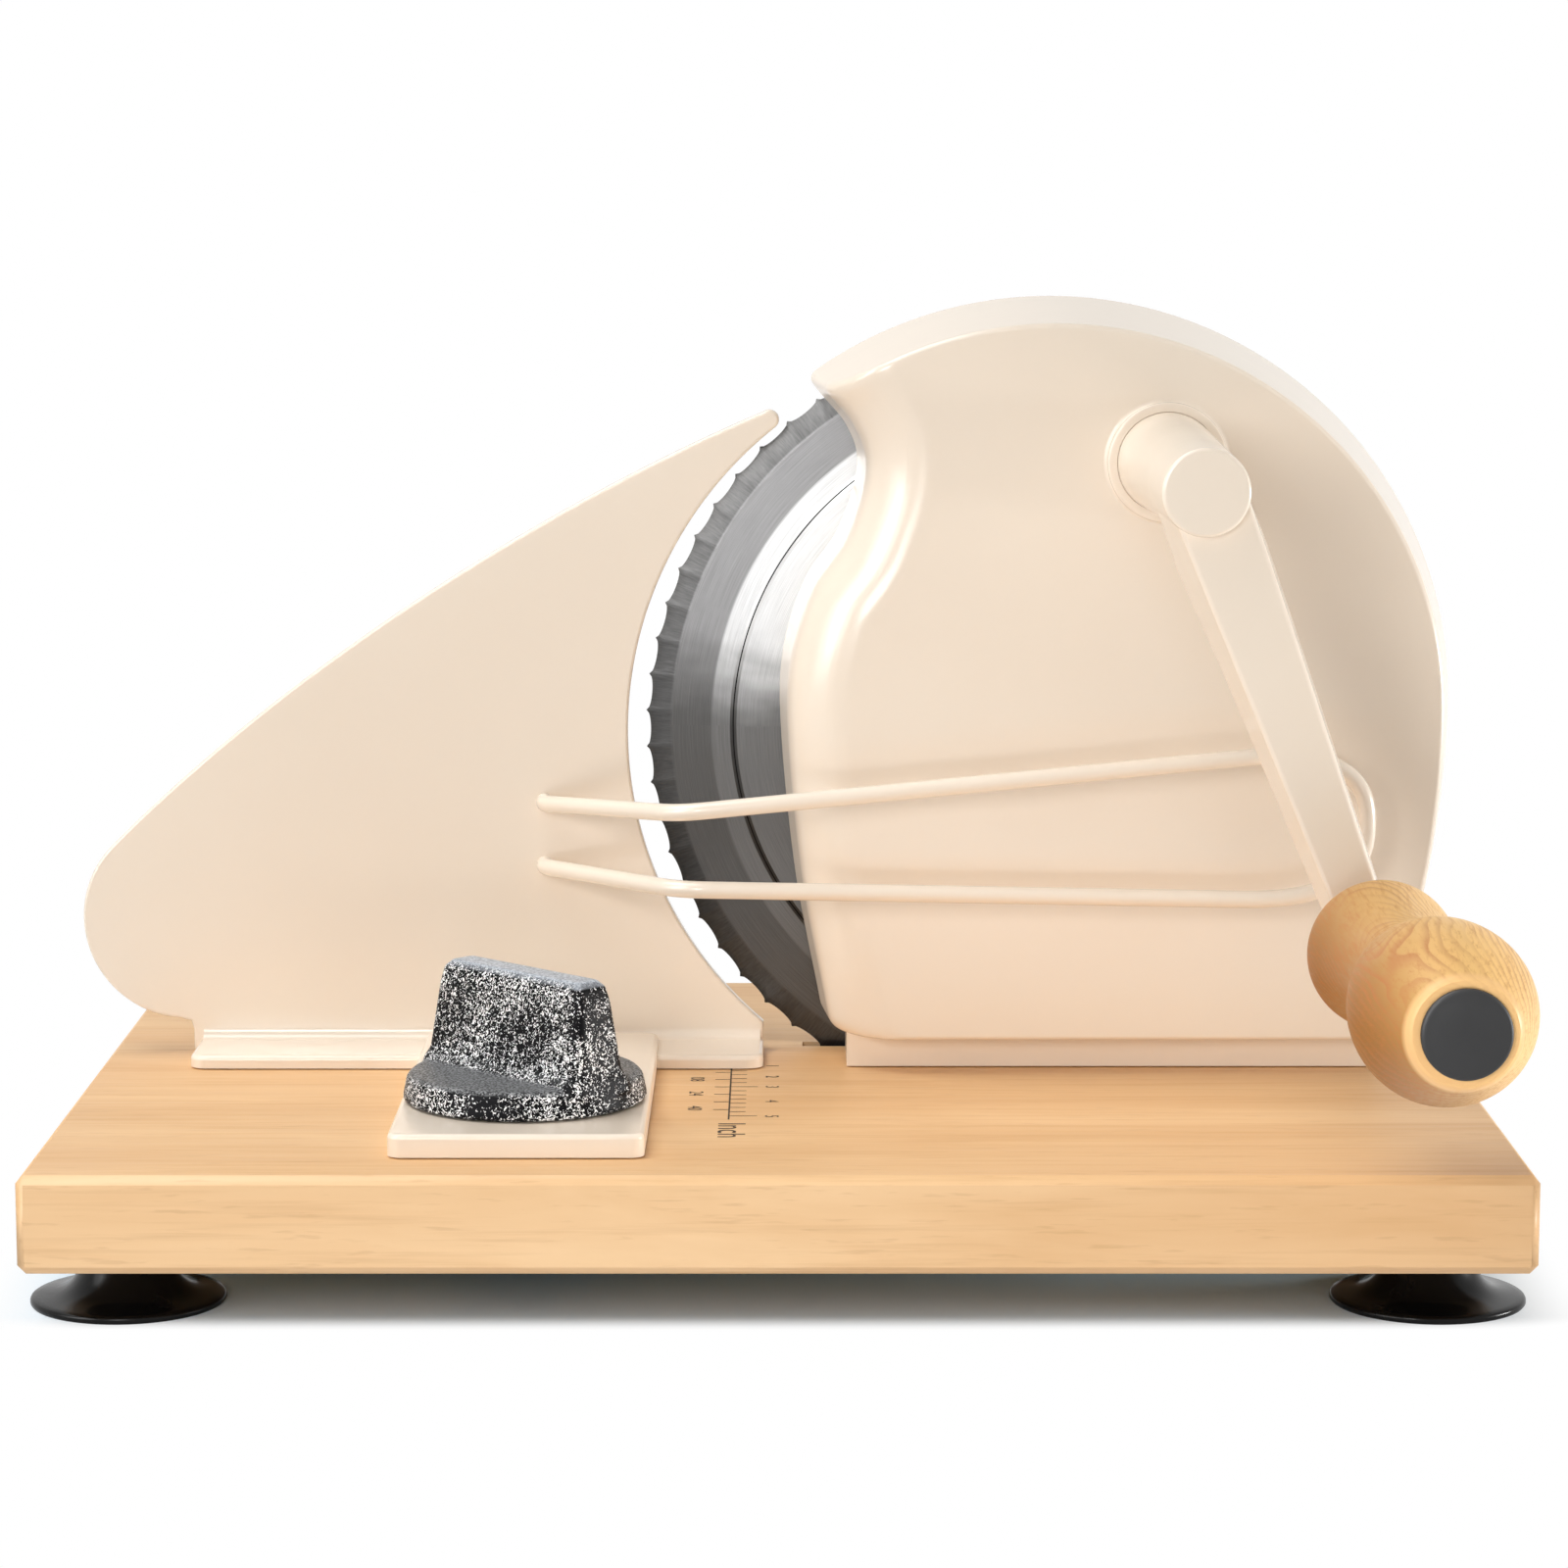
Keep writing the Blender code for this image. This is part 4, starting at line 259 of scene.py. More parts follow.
KNOB_X = -0.056
KNOB_Y = 0.054
KNOB_BOTTOM = PAD_TOP + SEAT_GAP
KNOB_RADIUS = 0.027
KNOB_TOP_RADIUS = 0.0255
KNOB_EDGE = 0.0006
KNOB_RECESS_RADIUS = 0.0106
KNOB_RECESS_DEPTH = 0.0017
RIM_TOP = KNOB_BOTTOM + 0.0062
WING_TOP = PAD_TOP + 0.029
WING_TURN = radians(-45)
# Share of the height, half length, half thickness, corner
WING_SECTIONS = (
    (-0.1, 0.0262, 0.0105, 0.0042), (0.03, 0.0257, 0.0092, 0.0036),
    (0.12, 0.025, 0.0075, 0.0028), (0.78, 0.0233, 0.0054, 0.002),
    (0.93, 0.0225, 0.0046, 0.0017), (1.00, 0.0209, 0.0031, 0.0012),
)
LOCK_BORE = 0.0043
LOCK_BORE_DEPTH = 0.016
KNOB_SKIN = 0.0004

WIRE_RADIUS = 0.002
GUARD_LEFT_X = -0.0554
GUARD_BEND_X = -0.0226
GUARD_RIGHT_X = 0.1343
GUARD_REACH = 0.039
GUARD_ELBOW = 0.0035
GUARD_ROOT = -0.0025
# Place along X, distance before the plate's face, height over the board
GUARD_CORNERS = (
    (GUARD_LEFT_X, GUARD_ROOT, 0.0604), (GUARD_LEFT_X, GUARD_ELBOW, 0.0604),
    (GUARD_BEND_X, GUARD_REACH, 0.0634), (GUARD_RIGHT_X, GUARD_REACH, 0.0789),
    (GUARD_RIGHT_X, GUARD_REACH, 0.043), (GUARD_BEND_X, GUARD_REACH, 0.0458),
    (GUARD_LEFT_X, GUARD_ELBOW, 0.0453), (GUARD_LEFT_X, GUARD_ROOT, 0.0453),
)
# How far each bend starts before its corner and ends after it
SMALL_BEND = WIRE_RADIUS * 1.3
GUARD_BENDS = ((SMALL_BEND, SMALL_BEND), (0.006, 0.006), (0.028, 0.017),
               (0.017, 0.028), (0.006, 0.006), (SMALL_BEND, SMALL_BEND))

# Middle of the grip's front face, in the model's frame
GRIP_FRONT = Vector((0.12938, -0.15622, 0.08556))
PITH_OFFSET = Vector((0.004, 0, -0.003))
PITH = Vector((-0.16, 0.95, 0.27)).normalized()
RINGS_PER_METRE = 780.0
RING_WOBBLE = (0.009, 0.009, 0.009)

# Millimetres from the blade's axis: two fades, and a line of painted shade along the dish's step with its
# half width
GROUND_EDGE = (88.2, 89.0)
CLEAR_DISC = (78.7, 79.3)
DISH_STEP_SHADE = (73.8, 0.16)
# Angle of the blade's painted highlight fans
PAINTED_FAN_ANGLE = radians(140)

FLOOR_HALF = 6.0
SHADOW_CENTRE = (0.001, 0.0565, 0)
SHADOW_HALF = (0.14, 0.0945, 0)
SHADOW_STRETCH = (0.35, 1, 1)
SHADOW_FADE = 0.013
ROOM_LIGHT = 0.13
# Name, place, aim, width, height, watts
LIGHTS = (
    ("top softbox", (-0.55, 0.0, 1.25), (0, 0, 0.1), 0.8, 0.8, 12.0),
    ("key softbox", (-0.19, -0.66, 0.3), (0.03, 0.0, 0.1), 0.14, 0.22, 1.5),
    ("left softbox", (-0.95, -0.45, 0.35), (0.05, 0, 0.1), 0.5, 0.5, 2.5),
    ("right softbox", (1.1, -0.02, 0.1), (0.1, -0.05, 0.1), 0.3, 0.14, 8.0),
    ("low front fill", (0.14, -0.42, 0.03), (0.1, 0, 0.03), 0.26, 0.05, 0.26),
    ("left strip", (-1.1, -0.9, 0.75), (0.05, 0, 0.12), 0.7, 1.1, 13.0),
)
CAMERA_PLACE = (0.002346, -0.9496, 0.2455)
CAMERA_TILT = radians(8.1)
CAMERA_LENS = 99.675


# Meshes

def assign(thing, **settings):
    for name, value in settings.items():
        setattr(thing, name, value)
    return thing


def add_object(name, data):
    made = bpy.data.objects.new(name, data)
    bpy.context.scene.collection.objects.link(made)
    return made


def add_shape(name, shape):
    """Turn a bmesh in the machine's frame into an object in the model's frame."""
    bmesh.ops.translate(shape, verts=shape.verts, vec=SHIFT)
    bmesh.ops.recalc_face_normals(shape, faces=shape.faces)
    mesh = bpy.data.meshes.new(name)
    shape.to_mesh(mesh)
    shape.free()
    return add_object(name, mesh)


def add_piece(name, shape, body, slot, *nodes):
    """Make a piece of a bmesh or a finished mesh, in place of these CAD nodes."""
    finished = isinstance(shape, bpy.types.Mesh)
    piece = add_object(name, shape) if finished else add_shape(name, shape)
    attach(piece, body)
    if nodes:
        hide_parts(*nodes)
    return piece


def evaluated_mesh(thing):
    """A new mesh of a thing with its modifiers or curve bevel applied."""
    bpy.context.view_layer.update()
    graph = bpy.context.evaluated_depsgraph_get()
    return bpy.data.meshes.new_from_object(thing.evaluated_get(graph))


def mesh_of_curve(curve):
    drawn = add_object("drawn", curve)
    mesh = evaluated_mesh(drawn)
    bpy.data.objects.remove(drawn)
    bpy.data.curves.remove(curve)
    return mesh


def settle(piece):
    """Apply the piece's modifiers to its mesh."""
    mesh = evaluated_mesh(piece)
    old = piece.data
    piece.modifiers.clear()
    piece.data = mesh
    mesh.name = old.name
    bpy.data.meshes.remove(old)


def combine(piece, shape, operation):
    tool = add_shape("tool", shape)
    assign(piece.modifiers.new("tool", "BOOLEAN"), operation=operation, solver="EXACT", object=tool)
    settle(piece)
    mesh = tool.data
    bpy.data.objects.remove(tool)
    bpy.data.meshes.remove(mesh)


def join(piece, *shapes):
    for shape in shapes:
        combine(piece, shape, "UNION")


def cut(piece, *shapes):
    for shape in shapes:
        combine(piece, shape, "DIFFERENCE")


def round_edges(piece, width, segments=4, angle=30):
    assign(piece.modifiers.new("rounding", "BEVEL"), width=width, segments=segments, limit_method="ANGLE",
           angle_limit=radians(angle))
    settle(piece)


def shade(piece, material, angle=30, weighted=True):
    piece.data.materials.clear()
    piece.data.materials.append(material)
    piece.data.shade_smooth()
    piece.data.set_sharp_from_angle(angle=radians(angle))
    if weighted:
        assign(piece.modifiers.new("even faces", "WEIGHTED_NORMAL"), keep_sharp=True, weight=60)


def block(low, high):
    shape = bmesh.new()
    bmesh.ops.create_cube(shape, size=1.0)
    for vert in shape.verts:
        vert.co = Vector(low[i] + (vert.co[i] + 0.5) * (high[i] - low[i]) for i in range(3))
    return shape


def skin(shape, rings):
    """Faces between neighbouring rings; a ring of one point makes a fan."""
    for first, second in zip(rings, rings[1:]):
        sides = max(len(first), len(second))
        for step in range(sides):
            after = (step + 1) % sides
            if len(first) == 1:
                shape.faces.new((first[0], second[step], second[after]))
            elif len(second) == 1:
                shape.faces.new((first[step], first[after], second[0]))
            else:
                shape.faces.new((first[step], first[after], second[after], second[step]))


def turned(profile, centre, sides=72, axis="Y"):
    """Spin a closed profile of (radius, distance along the axis) pairs."""
    shape = bmesh.new()
    rings = []
    for radius, along in profile:
        ring = []
        for step in range(sides if radius else 1):
            across, up = around(centre, radius, 2 * pi * step / sides)
            ring.append(shape.verts.new((across, along, up) if axis == "Y" else (across, up, along)))
        rings.append(ring)
    if profile[0][0] and profile[-1][0]:
        rings.append(rings[0])
    skin(shape, rings)
    return shape


def rod(radius, start, end, centre, axis="Y", sides=48):
    return turned([(0, start), (radius, start), (radius, end), (0, end)], centre, sides, axis)


def extruded(outline, start_y, end_y):
    shape = bmesh.new()
    front, rear = ([shape.verts.new((x, y, z)) for x, z in outline] for y in (start_y, end_y))
    shape.faces.new(front)
    shape.faces.new(reversed(rear))
    for step in range(len(outline)):
        after = (step + 1) % len(outline)
        shape.faces.new((front[after], front[step], rear[step], rear[after]))
    return shape


def lofted(rings):
    """Skin a row of rings with equal counts, with flat ends."""
    shape = bmesh.new()
    made = [[shape.verts.new(point) for point in ring] for ring in rings]
    skin(shape, made)
    shape.faces.new(reversed(made[0]))
    shape.faces.new(made[-1])
    return shape


def quarter(steps):
    """Angles from zero to a right angle."""
    return [pi / 2 * step / steps for step in range(steps + 1)]


def around(centre, radius, angle):
    return centre[0] + radius * cos(angle), centre[1] + radius * sin(angle)


def arc(centre, radius, start, end, steps):
    return [Vector(around(centre, radius, start + (end - start) * step / steps))
            for step in range(steps + 1)]


def bezier(corners, steps):
    points = []
    for step in range(steps + 1):
        t = step / steps
        weights = ((1 - t) ** 3, 3 * t * (1 - t) ** 2, 3 * t * t * (1 - t), t ** 3)
        points.append(sum((c * w for c, w in zip(corners, weights)), Vector((0, 0))))
    return points


def smooth_through(knots, steps):
    """Points on a Catmull-Rom curve through knots, steps points per span."""
    knots = [Vector(knot) for knot in knots]
    padded = [2 * knots[0] - knots[1], *knots, 2 * knots[-1] - knots[-2]]
    points = []
    for before, first, second, after in zip(padded, padded[1:], padded[2:], padded[3:]):
        for step in range(steps):
            t = step / steps
            points.append(0.5 * (
                2 * first + (second - before) * t
                + (2 * before - 5 * first + 4 * second - after) * t ** 2
                + (3 * first - before - 3 * second + after) * t ** 3))
    points.append(knots[-1].copy())
    return points


def respaced(points, trim_start, trim_end, count):
    """Evenly spaced points on a path whose ends are trimmed."""
    spans = [(after - before).length for before, after in zip(points, points[1:])]
    usable = sum(spans) - trim_start - trim_end
    found = []
    index, passed = 0, 0.0
    for step in range(count):
        distance = trim_start + usable * step / (count - 1)
        while index < len(spans) - 1 and passed + spans[index] < distance:
            passed += spans[index]
            index += 1
        found.append(points[index].lerp(points[index + 1], (distance - passed) / spans[index]))
    return found


def bend(start, corner, end, share):
    """A point on the parabola that leaves start and reaches end towards the corner."""
    return start * (1 - share) ** 2 + corner * (2 * share * (1 - share)) + end * share ** 2


def corner_points(before, corner, after, count=5):
    return [bend(before, corner, after, step / (count + 1)) for step in range(1, count + 1)]


# Base

def make_board():
    half = BOARD_LENGTH / 2
    board = add_piece("wooden_board", block((-half, 0, FOOT_HEIGHT), (half, BOARD_DEPTH, BOARD_TOP)),
                      "base", "beech", "base_board")
    round_edges(board, BOARD_EDGE, 1)
    below, above = FOOT_HEIGHT - OVERRUN, BOARD_TOP + OVERRUN
    pocket_top = FOOT_HEIGHT + POCKET_DEPTH
    chord = sqrt(BLADE_RADIUS ** 2 - (BLADE_Z - BOARD_TOP) ** 2) + BLADE_SLOT_END_GAP
    cut(board, block((BLADE_X - chord, CUT_Y - BLADE_THICKNESS - BLADE_SLOT_GAP, below),
                     (BLADE_X + chord, CUT_Y + BLADE_SLOT_GAP, above)))
    for (side, front, rear), top in ((LOCK_SLOT, above), (NUT_GROOVE, pocket_top)):
        cut(board, block((KNOB_X - side, KNOB_Y + front, below), (KNOB_X + side, KNOB_Y + rear, top)))
    for place in FOOT_PLACES.values():
        cut(board, rod(STUD_RADIUS + SEAT_GAP, below, FOOT_HEIGHT + STUD_HOLE_DEPTH, place, "Z", 32))
    hole = ((0, below), (SCREW_HEAD_HOLE, below), (SCREW_HEAD_HOLE, pocket_top),
            (SCREW_HOLE, pocket_top), (SCREW_HOLE, above), (0, above))
    for x in HOUSING_SCREW_X:
        cut(board, turned(hole, (x, HOUSING_SCREW_Y), 40, "Z"))
    shade(board, beech(), 40)


def print_mark(shape, left, right, front, rear, height):
    corners = ((left, front), (right, front), (right, rear), (left, rear))
    shape.faces.new([shape.verts.new((x, y, height)) for x, y in corners])


def print_text(shape, height, words, left, rear, size):
    """Flat lettering that reads towards the front, its foot at left."""
    curve = bpy.data.curves.new("words", "FONT")
    mesh = mesh_of_curve(assign(curve, body=words, size=size, resolution_u=4))
    mesh.transform(Matrix.Translation((left, rear, height)) @ Matrix.Rotation(-pi / 2, 4, "Z"))
    shape.from_mesh(mesh)
    bpy.data.meshes.remove(mesh)


def make_scale():
    """The printed slice scale on the board in front of the plate."""
    height = BOARD_TOP + INK_RISE
    shape = bmesh.new()
    half = SCALE_LINE_HALF
    print_mark(shape, SCALE_X - half, SCALE_X + half, SCALE_FRONT_Y, SCALE_REAR_Y, height)
    for zero, step, numbers, reach, long_reach, half in TICKS:
        for number in numbers:
            y = zero - step * number
            end = SCALE_X + (reach if number % 7 else long_reach)
            print_mark(shape, min(SCALE_X, end), max(SCALE_X, end), y - half, y + half, height)
    for row in SCALE_WORDS:
        print_text(shape, height, *row)
    ink = add_piece("scale_print", shape, "base", "beech")
    ink.data.materials.append(printed_ink())


def make_feet():
    top = FOOT_HEIGHT - SEAT_GAP
    span = FOOT_RADIUS - FOOT_NECK_RADIUS
    rim = FOOT_RADIUS - FOOT_RIM_WIDTH
    small = 0.0002
    socket = STUD_RADIUS + SEAT_GAP
    floor = top - STUD_SOCKET_DEPTH
    flare = []
    for step in range(17):
        t = (step / 16) ** 2
        height = FOOT_LIP_HEIGHT + FOOT_SKIRT_RISE * (1 - t) + FOOT_NECK_RISE * (1 - t) ** 5
        flare.append((FOOT_NECK_RADIUS + (span - 0.0005) * t, height))
    lip = [(FOOT_RADIUS - small, FOOT_LIP_HEIGHT - small), (FOOT_RADIUS, FOOT_LIP_HEIGHT - 3 * small),
           (FOOT_RADIUS, 2 * small), (FOOT_RADIUS - 0.0003, 0)]
    dome = [(rim * cos(turn), FOOT_DOME * sin(turn)) for turn in quarter(8)[:-1]]
    profile = [(0, floor), (socket, floor), (socket, top), (FOOT_NECK_RADIUS - 2 * small, top),
               (FOOT_NECK_RADIUS, top - 2 * small), *flare, *lip, *dome, (0, FOOT_DOME)]
    rubber = black_rubber()
    for corner, place in FOOT_PLACES.items():
        foot = add_piece(f"cup_{corner}", turned(profile, place, 96, "Z"), "base", "black_rubber",
                         f"suction_foot_{corner}")
        shade(foot, rubber, 40, False)


# Housing

def housing_outline(rim_inset, cowl_inset, floor_inset):
    """One ring of the shell: floor, flank, rim, beak and cowl, anticlockwise."""
    rim_centre = Vector((RIM_X, RIM_Z))
    radius = RIM_RADIUS - rim_inset
    floor_z = HOUSING_BOTTOM + floor_inset
    knots = []
    for degrees, beyond in COWL_EDGE:
        knots.append(Vector(around((BLADE_X, BLADE_Z), COWL_COVER + beyond, radians(degrees))))
    foot = Vector((knots[0].x + (HOUSING_BOTTOM - knots[0].y) * COWL_FOOT_LEAN, COWL_FOOT_Z))
    last = (knots[-1] - knots[-2]).normalized()
    edge = smooth_through([foot, *knots, knots[-1] + last * COWL_OVERSHOOT], 24)
    moved = []
    for index, point in enumerate(edge):
        ahead = edge[min(index + 1, len(edge) - 1)] - edge[max(index - 1, 0)]
        moved.append(point + Vector((ahead.y, -ahead.x)).normalized() * cowl_inset)
    cowl = []
    for before, after in zip(moved, moved[1:]):
        if not cowl and after.y >= floor_z:
            cowl.append(before.lerp(after, (floor_z - before.y) / (after.y - before.y)))
        if cowl:
            reach = (after - rim_centre).length
            if reach >= radius and after.y > rim_centre.y:
                start = (before - rim_centre).length
                cowl.append(before.lerp(after, (radius - start) / (reach - start)))
                break
            cowl.append(after)
    beak = cowl[-1] - rim_centre
    flank_radius = FLANK_RADIUS - rim_inset
    flank_centre = rim_centre + Vector((radius - flank_radius, 0))
    drop = asin((rim_centre.y - floor_z) / flank_radius)
    flank = arc(flank_centre, flank_radius, -drop, 0, 60)
    rim = arc(rim_centre, radius, 0, atan2(beak.y, beak.x), 240)
    floor_row = respaced([cowl[0], flank[0]], FOOT_CORNER_TRIM, FOOT_CORNER_TRIM, 8)
    side_row = respaced(flank + rim[1:], FOOT_CORNER_TRIM, BEAK_TRIM, 180)
    cowl_row = respaced(cowl[::-1], BEAK_TRIM, FOOT_CORNER_TRIM, 110)
    ring = []
    for row, corner, following in ((floor_row, flank[0], side_row), (side_row, cowl[-1], cowl_row),
                                   (cowl_row, cowl[0], floor_row)):
        ring += row + corner_points(row[-1], corner, following[0])
    return ring


def fillet_inset(depth, fillet):
    """How far a rounded front corner stands back at a depth behind the face."""
    if depth >= fillet:
        return 0.0
    return fillet - sqrt(fillet ** 2 - (fillet - depth) ** 2)


def housing_shell():
    depths = {HOUSING_DEPTH - REAR_EDGE_ROUND, HOUSING_DEPTH}
    for fillet, steps in ((RIM_FILLET, 6), (COWL_FILLET, 14)):
        depths.update(round(fillet * (1 - cos(turn)), 6) for turn in quarter(steps))
    rings = []
    for depth in sorted(depths):
        left = 1 - depth / HOUSING_DEPTH
        rear = REAR_EDGE_INSET if depth == HOUSING_DEPTH else 0.0
        rings.append((depth, RIM_DRAFT * left + fillet_inset(depth, RIM_FILLET) + rear,
                      COWL_DRAFT * left + fillet_inset(depth, COWL_FILLET) + rear,
                      fillet_inset(depth, RIM_FILLET) + rear))
    inner_fillet = COWL_FILLET - HOUSING_WALL
    inner_depths = [HOUSING_FACE_WALL + inner_fillet * (1 - cos(turn)) for turn in quarter(6)[::-1]]
    for depth in (HOUSING_DEPTH, *inner_depths):
        left = 1 - depth / HOUSING_DEPTH
        cowl = HOUSING_WALL + COWL_DRAFT * left + fillet_inset(depth - HOUSING_FACE_WALL, inner_fillet)
        rings.append((depth, HOUSING_WALL + RIM_DRAFT * left, cowl, HOUSING_WALL))
    return lofted([[(p.x, HOUSING_FACE_Y + depth, p.y) for p in housing_outline(*insets)]
                   for depth, *insets in rings])


def make_housing():
    housing = add_piece("cast_housing", housing_shell(), "base", "cream_enamel", "gear_housing")
    blade_centre, crank_centre = (BLADE_X, BLADE_Z), (CRANK_X, CRANK_Z)
    in_face = HOUSING_FACE_Y + HOUSING_FACE_WALL / 2
    in_floor = HOUSING_BOTTOM + HOUSING_WALL / 2
    lip_front = HOUSING_FACE_Y - LIP_HEIGHT
    lip = [(LIP_BORE, in_face), (LIP_BORE, lip_front + SHARP_EDGE), (LIP_BORE + SHARP_EDGE, lip_front)]
    lip += [(LIP_RADIUS - LIP_EDGE + LIP_EDGE * sin(turn), lip_front + LIP_EDGE * (1 - cos(turn)))
            for turn in quarter(5)]
    lip += [(LIP_RADIUS + LIP_FILLET * (1 - cos(turn)),
             HOUSING_FACE_Y - LIP_FILLET_RISE * (1 - sin(turn))) for turn in quarter(6)]
    lip += [(LIP_RADIUS + LIP_FILLET, in_face)]
    join(housing,
         rod(AXLE_BOSS_RADIUS, in_face, AXLE_BOSS_END_Y, blade_centre),
         rod(CRANK_BOSS_RADIUS, in_face, CRANK_BOSS_END_Y, crank_centre),
         turned(lip, crank_centre, 120),
         block((PLINTH_LEFT_X, PLINTH_FRONT_Y, BOARD_TOP + SEAT_GAP),
               (PLINTH_RIGHT_X, HOUSING_REAR_Y - REAR_EDGE_ROUND, in_floor)),
         *[rod(SCREW_BOSS_RADIUS, in_floor, SCREW_BOSS_TOP, (x, HOUSING_SCREW_Y), "Z")
           for x in HOUSING_SCREW_X])
    cut(housing,
        rod(BUSH_RADIUS + SEAT_GAP, HOUSING_FACE_Y - OVERRUN, CRANK_BOSS_END_Y + OVERRUN, crank_centre),
        rod(AXLE_SEAT_RADIUS, AXLE_SEAT_Y, AXLE_BOSS_END_Y + OVERRUN, blade_centre),
        *[rod(SCREW_HOLE, BOARD_TOP - OVERRUN, SCREW_HOLE_TOP, (x, HOUSING_SCREW_Y), "Z")
          for x in HOUSING_SCREW_X])
    shade(housing, cream_enamel(), 30)


# Blade

def scallop_radius(share):
    return BLADE_RADIUS - SCALLOP_DEPTH * sqrt(max(0.0, 1 - (2 * share - 1) ** 2))


def make_blade():
    steps = 12
    count = SCALLOPS * steps
    centre = (BLADE_X, BLADE_Z)
    shape = bmesh.new()
    bevel = BLADE_RADIUS - BLADE_BEVEL
    dish_out = DISH_RADIUS + DISH_SLOPE
    dish_in = DISH_RADIUS - BLADE_BEND
    front_y = CUT_Y - BLADE_THICKNESS
    dish = (DISH_RADIUS, dish_in, BLADE_INNER_RING, BLADE_BORE)
    rows = [(None, CUT_Y - EDGE_THICKNESS), (bevel, front_y), (bevel - BLADE_BEND, front_y),
            (dish_out, front_y), *[(radius, DISH_FRONT_Y) for radius in dish],
            *[(radius, DISH_REAR_Y) for radius in dish[::-1]], (dish_out, CUT_Y), (bevel, CUT_Y),
            (None, CUT_Y)]
    made = []
    for radius, y in rows:
        ring = []
        for step in range(count):
            reach = scallop_radius((step % steps) / steps) if radius is None else radius
            x, z = around(centre, reach, SCALLOP_PHASE + 2 * pi * step / count)
            ring.append(shape.verts.new((x, y, z)))
        made.append(ring)
    skin(shape, made + made[:1])
    blade = add_piece("scalloped_blade", shape, "blade", "blade_steel", "blade")
    for number in range(3):
        place = around(centre, BLADE_SCREW_CIRCLE, pi / 2 + 2 * pi * number / 3)
        cut(blade, rod(BLADE_SCREW_HOLE, DISH_FRONT_Y - OVERRUN, CUT_Y + OVERRUN, place, sides=24))
    shade(blade, blade_steel(), 12, False)


# Crank

def make_crank_arm():
    down = Vector((sin(CRANK_TURN), 0, -cos(CRANK_TURN)))
    across = Vector((cos(CRANK_TURN), 0, sin(CRANK_TURN)))
    start = Vector((CRANK_X, ARM_FRONT_Y, CRANK_Z))
    rings = []
    for reach, front, rear, depth in ARM_SECTIONS:
        middle = start + down * reach
        back = Vector((0, depth, 0))
        rings.append([middle - across * front, middle + across * front,
                      middle + across * rear + back, middle - across * rear + back])
    arm = add_piece("cast_crank", lofted(rings), "crank", "cream_enamel", "crank_arm")
    round_edges(arm, ARM_EDGE, 4)
    centre = (CRANK_X, CRANK_Z)
    nose = [(HUB_FRONT_RADIUS - HUB_EDGE * (1 - sin(turn)),
             HUB_FRONT_Y + HUB_EDGE * (1 - cos(turn))) for turn in quarter(6)]
    join(arm, turned([(0, HUB_FRONT_Y), *nose, (HUB_REAR_RADIUS, HUB_REAR_Y - SHARP_EDGE),
                      (HUB_REAR_RADIUS - SHARP_EDGE, HUB_REAR_Y), (0, HUB_REAR_Y)], centre, 96))
    inner = EYE_RADIUS - EYE_EDGE
    eye = [(0, EYE_FRONT_Y), (inner, EYE_FRONT_Y), (EYE_RADIUS - 0.0002, EYE_FRONT_Y + 0.0002),
           (EYE_RADIUS, EYE_FRONT_Y + EYE_EDGE), (EYE_RADIUS, EYE_REAR_Y - EYE_EDGE), (inner, EYE_REAR_Y),
           (0, EYE_REAR_Y)]
    join(arm, leaned(turned(eye, (HANDLE_X, HANDLE_Z), 72)))
    cut(arm, rod(SHAFT_RADIUS + SEAT_GAP, SHAFT_FRONT_Y - SEAT_GAP, HUB_REAR_Y + OVERRUN, centre),
        leaned(rod(BOLT_HOLE, EYE_FRONT_Y - OVERRUN, EYE_REAR_Y + OVERRUN, (HANDLE_X, HANDLE_Z))),
        set_screw_hole())
    shade(arm, cream_enamel(), 30)


def set_screw_hole():
    shape = rod(SCREW_HOLE, SHAFT_RADIUS, HUB_REAR_RADIUS + 0.003, (0, 0), "Z", 24)
    turn = Matrix.Rotation(pi / 2 + SET_SCREW_TURN, 4, "Y")
    place = Matrix.Translation((CRANK_X, SET_SCREW_Y, CRANK_Z))
    bmesh.ops.transform(shape, matrix=place @ turn, verts=shape.verts)
    return shape


def leaned(shape):
    """Tilt a shape about the handle's seat, as the grip leans."""
    seat = Matrix.Translation((HANDLE_X, ARM_FRONT_Y, HANDLE_Z))
    lean = Matrix.Rotation(GRIP_SPLAY, 4, "Z") @ Matrix.Rotation(-GRIP_LIFT, 4, "X")
    bmesh.ops.transform(shape, matrix=seat @ lean @ seat.inverted(), verts=shape.verts)
    return shape


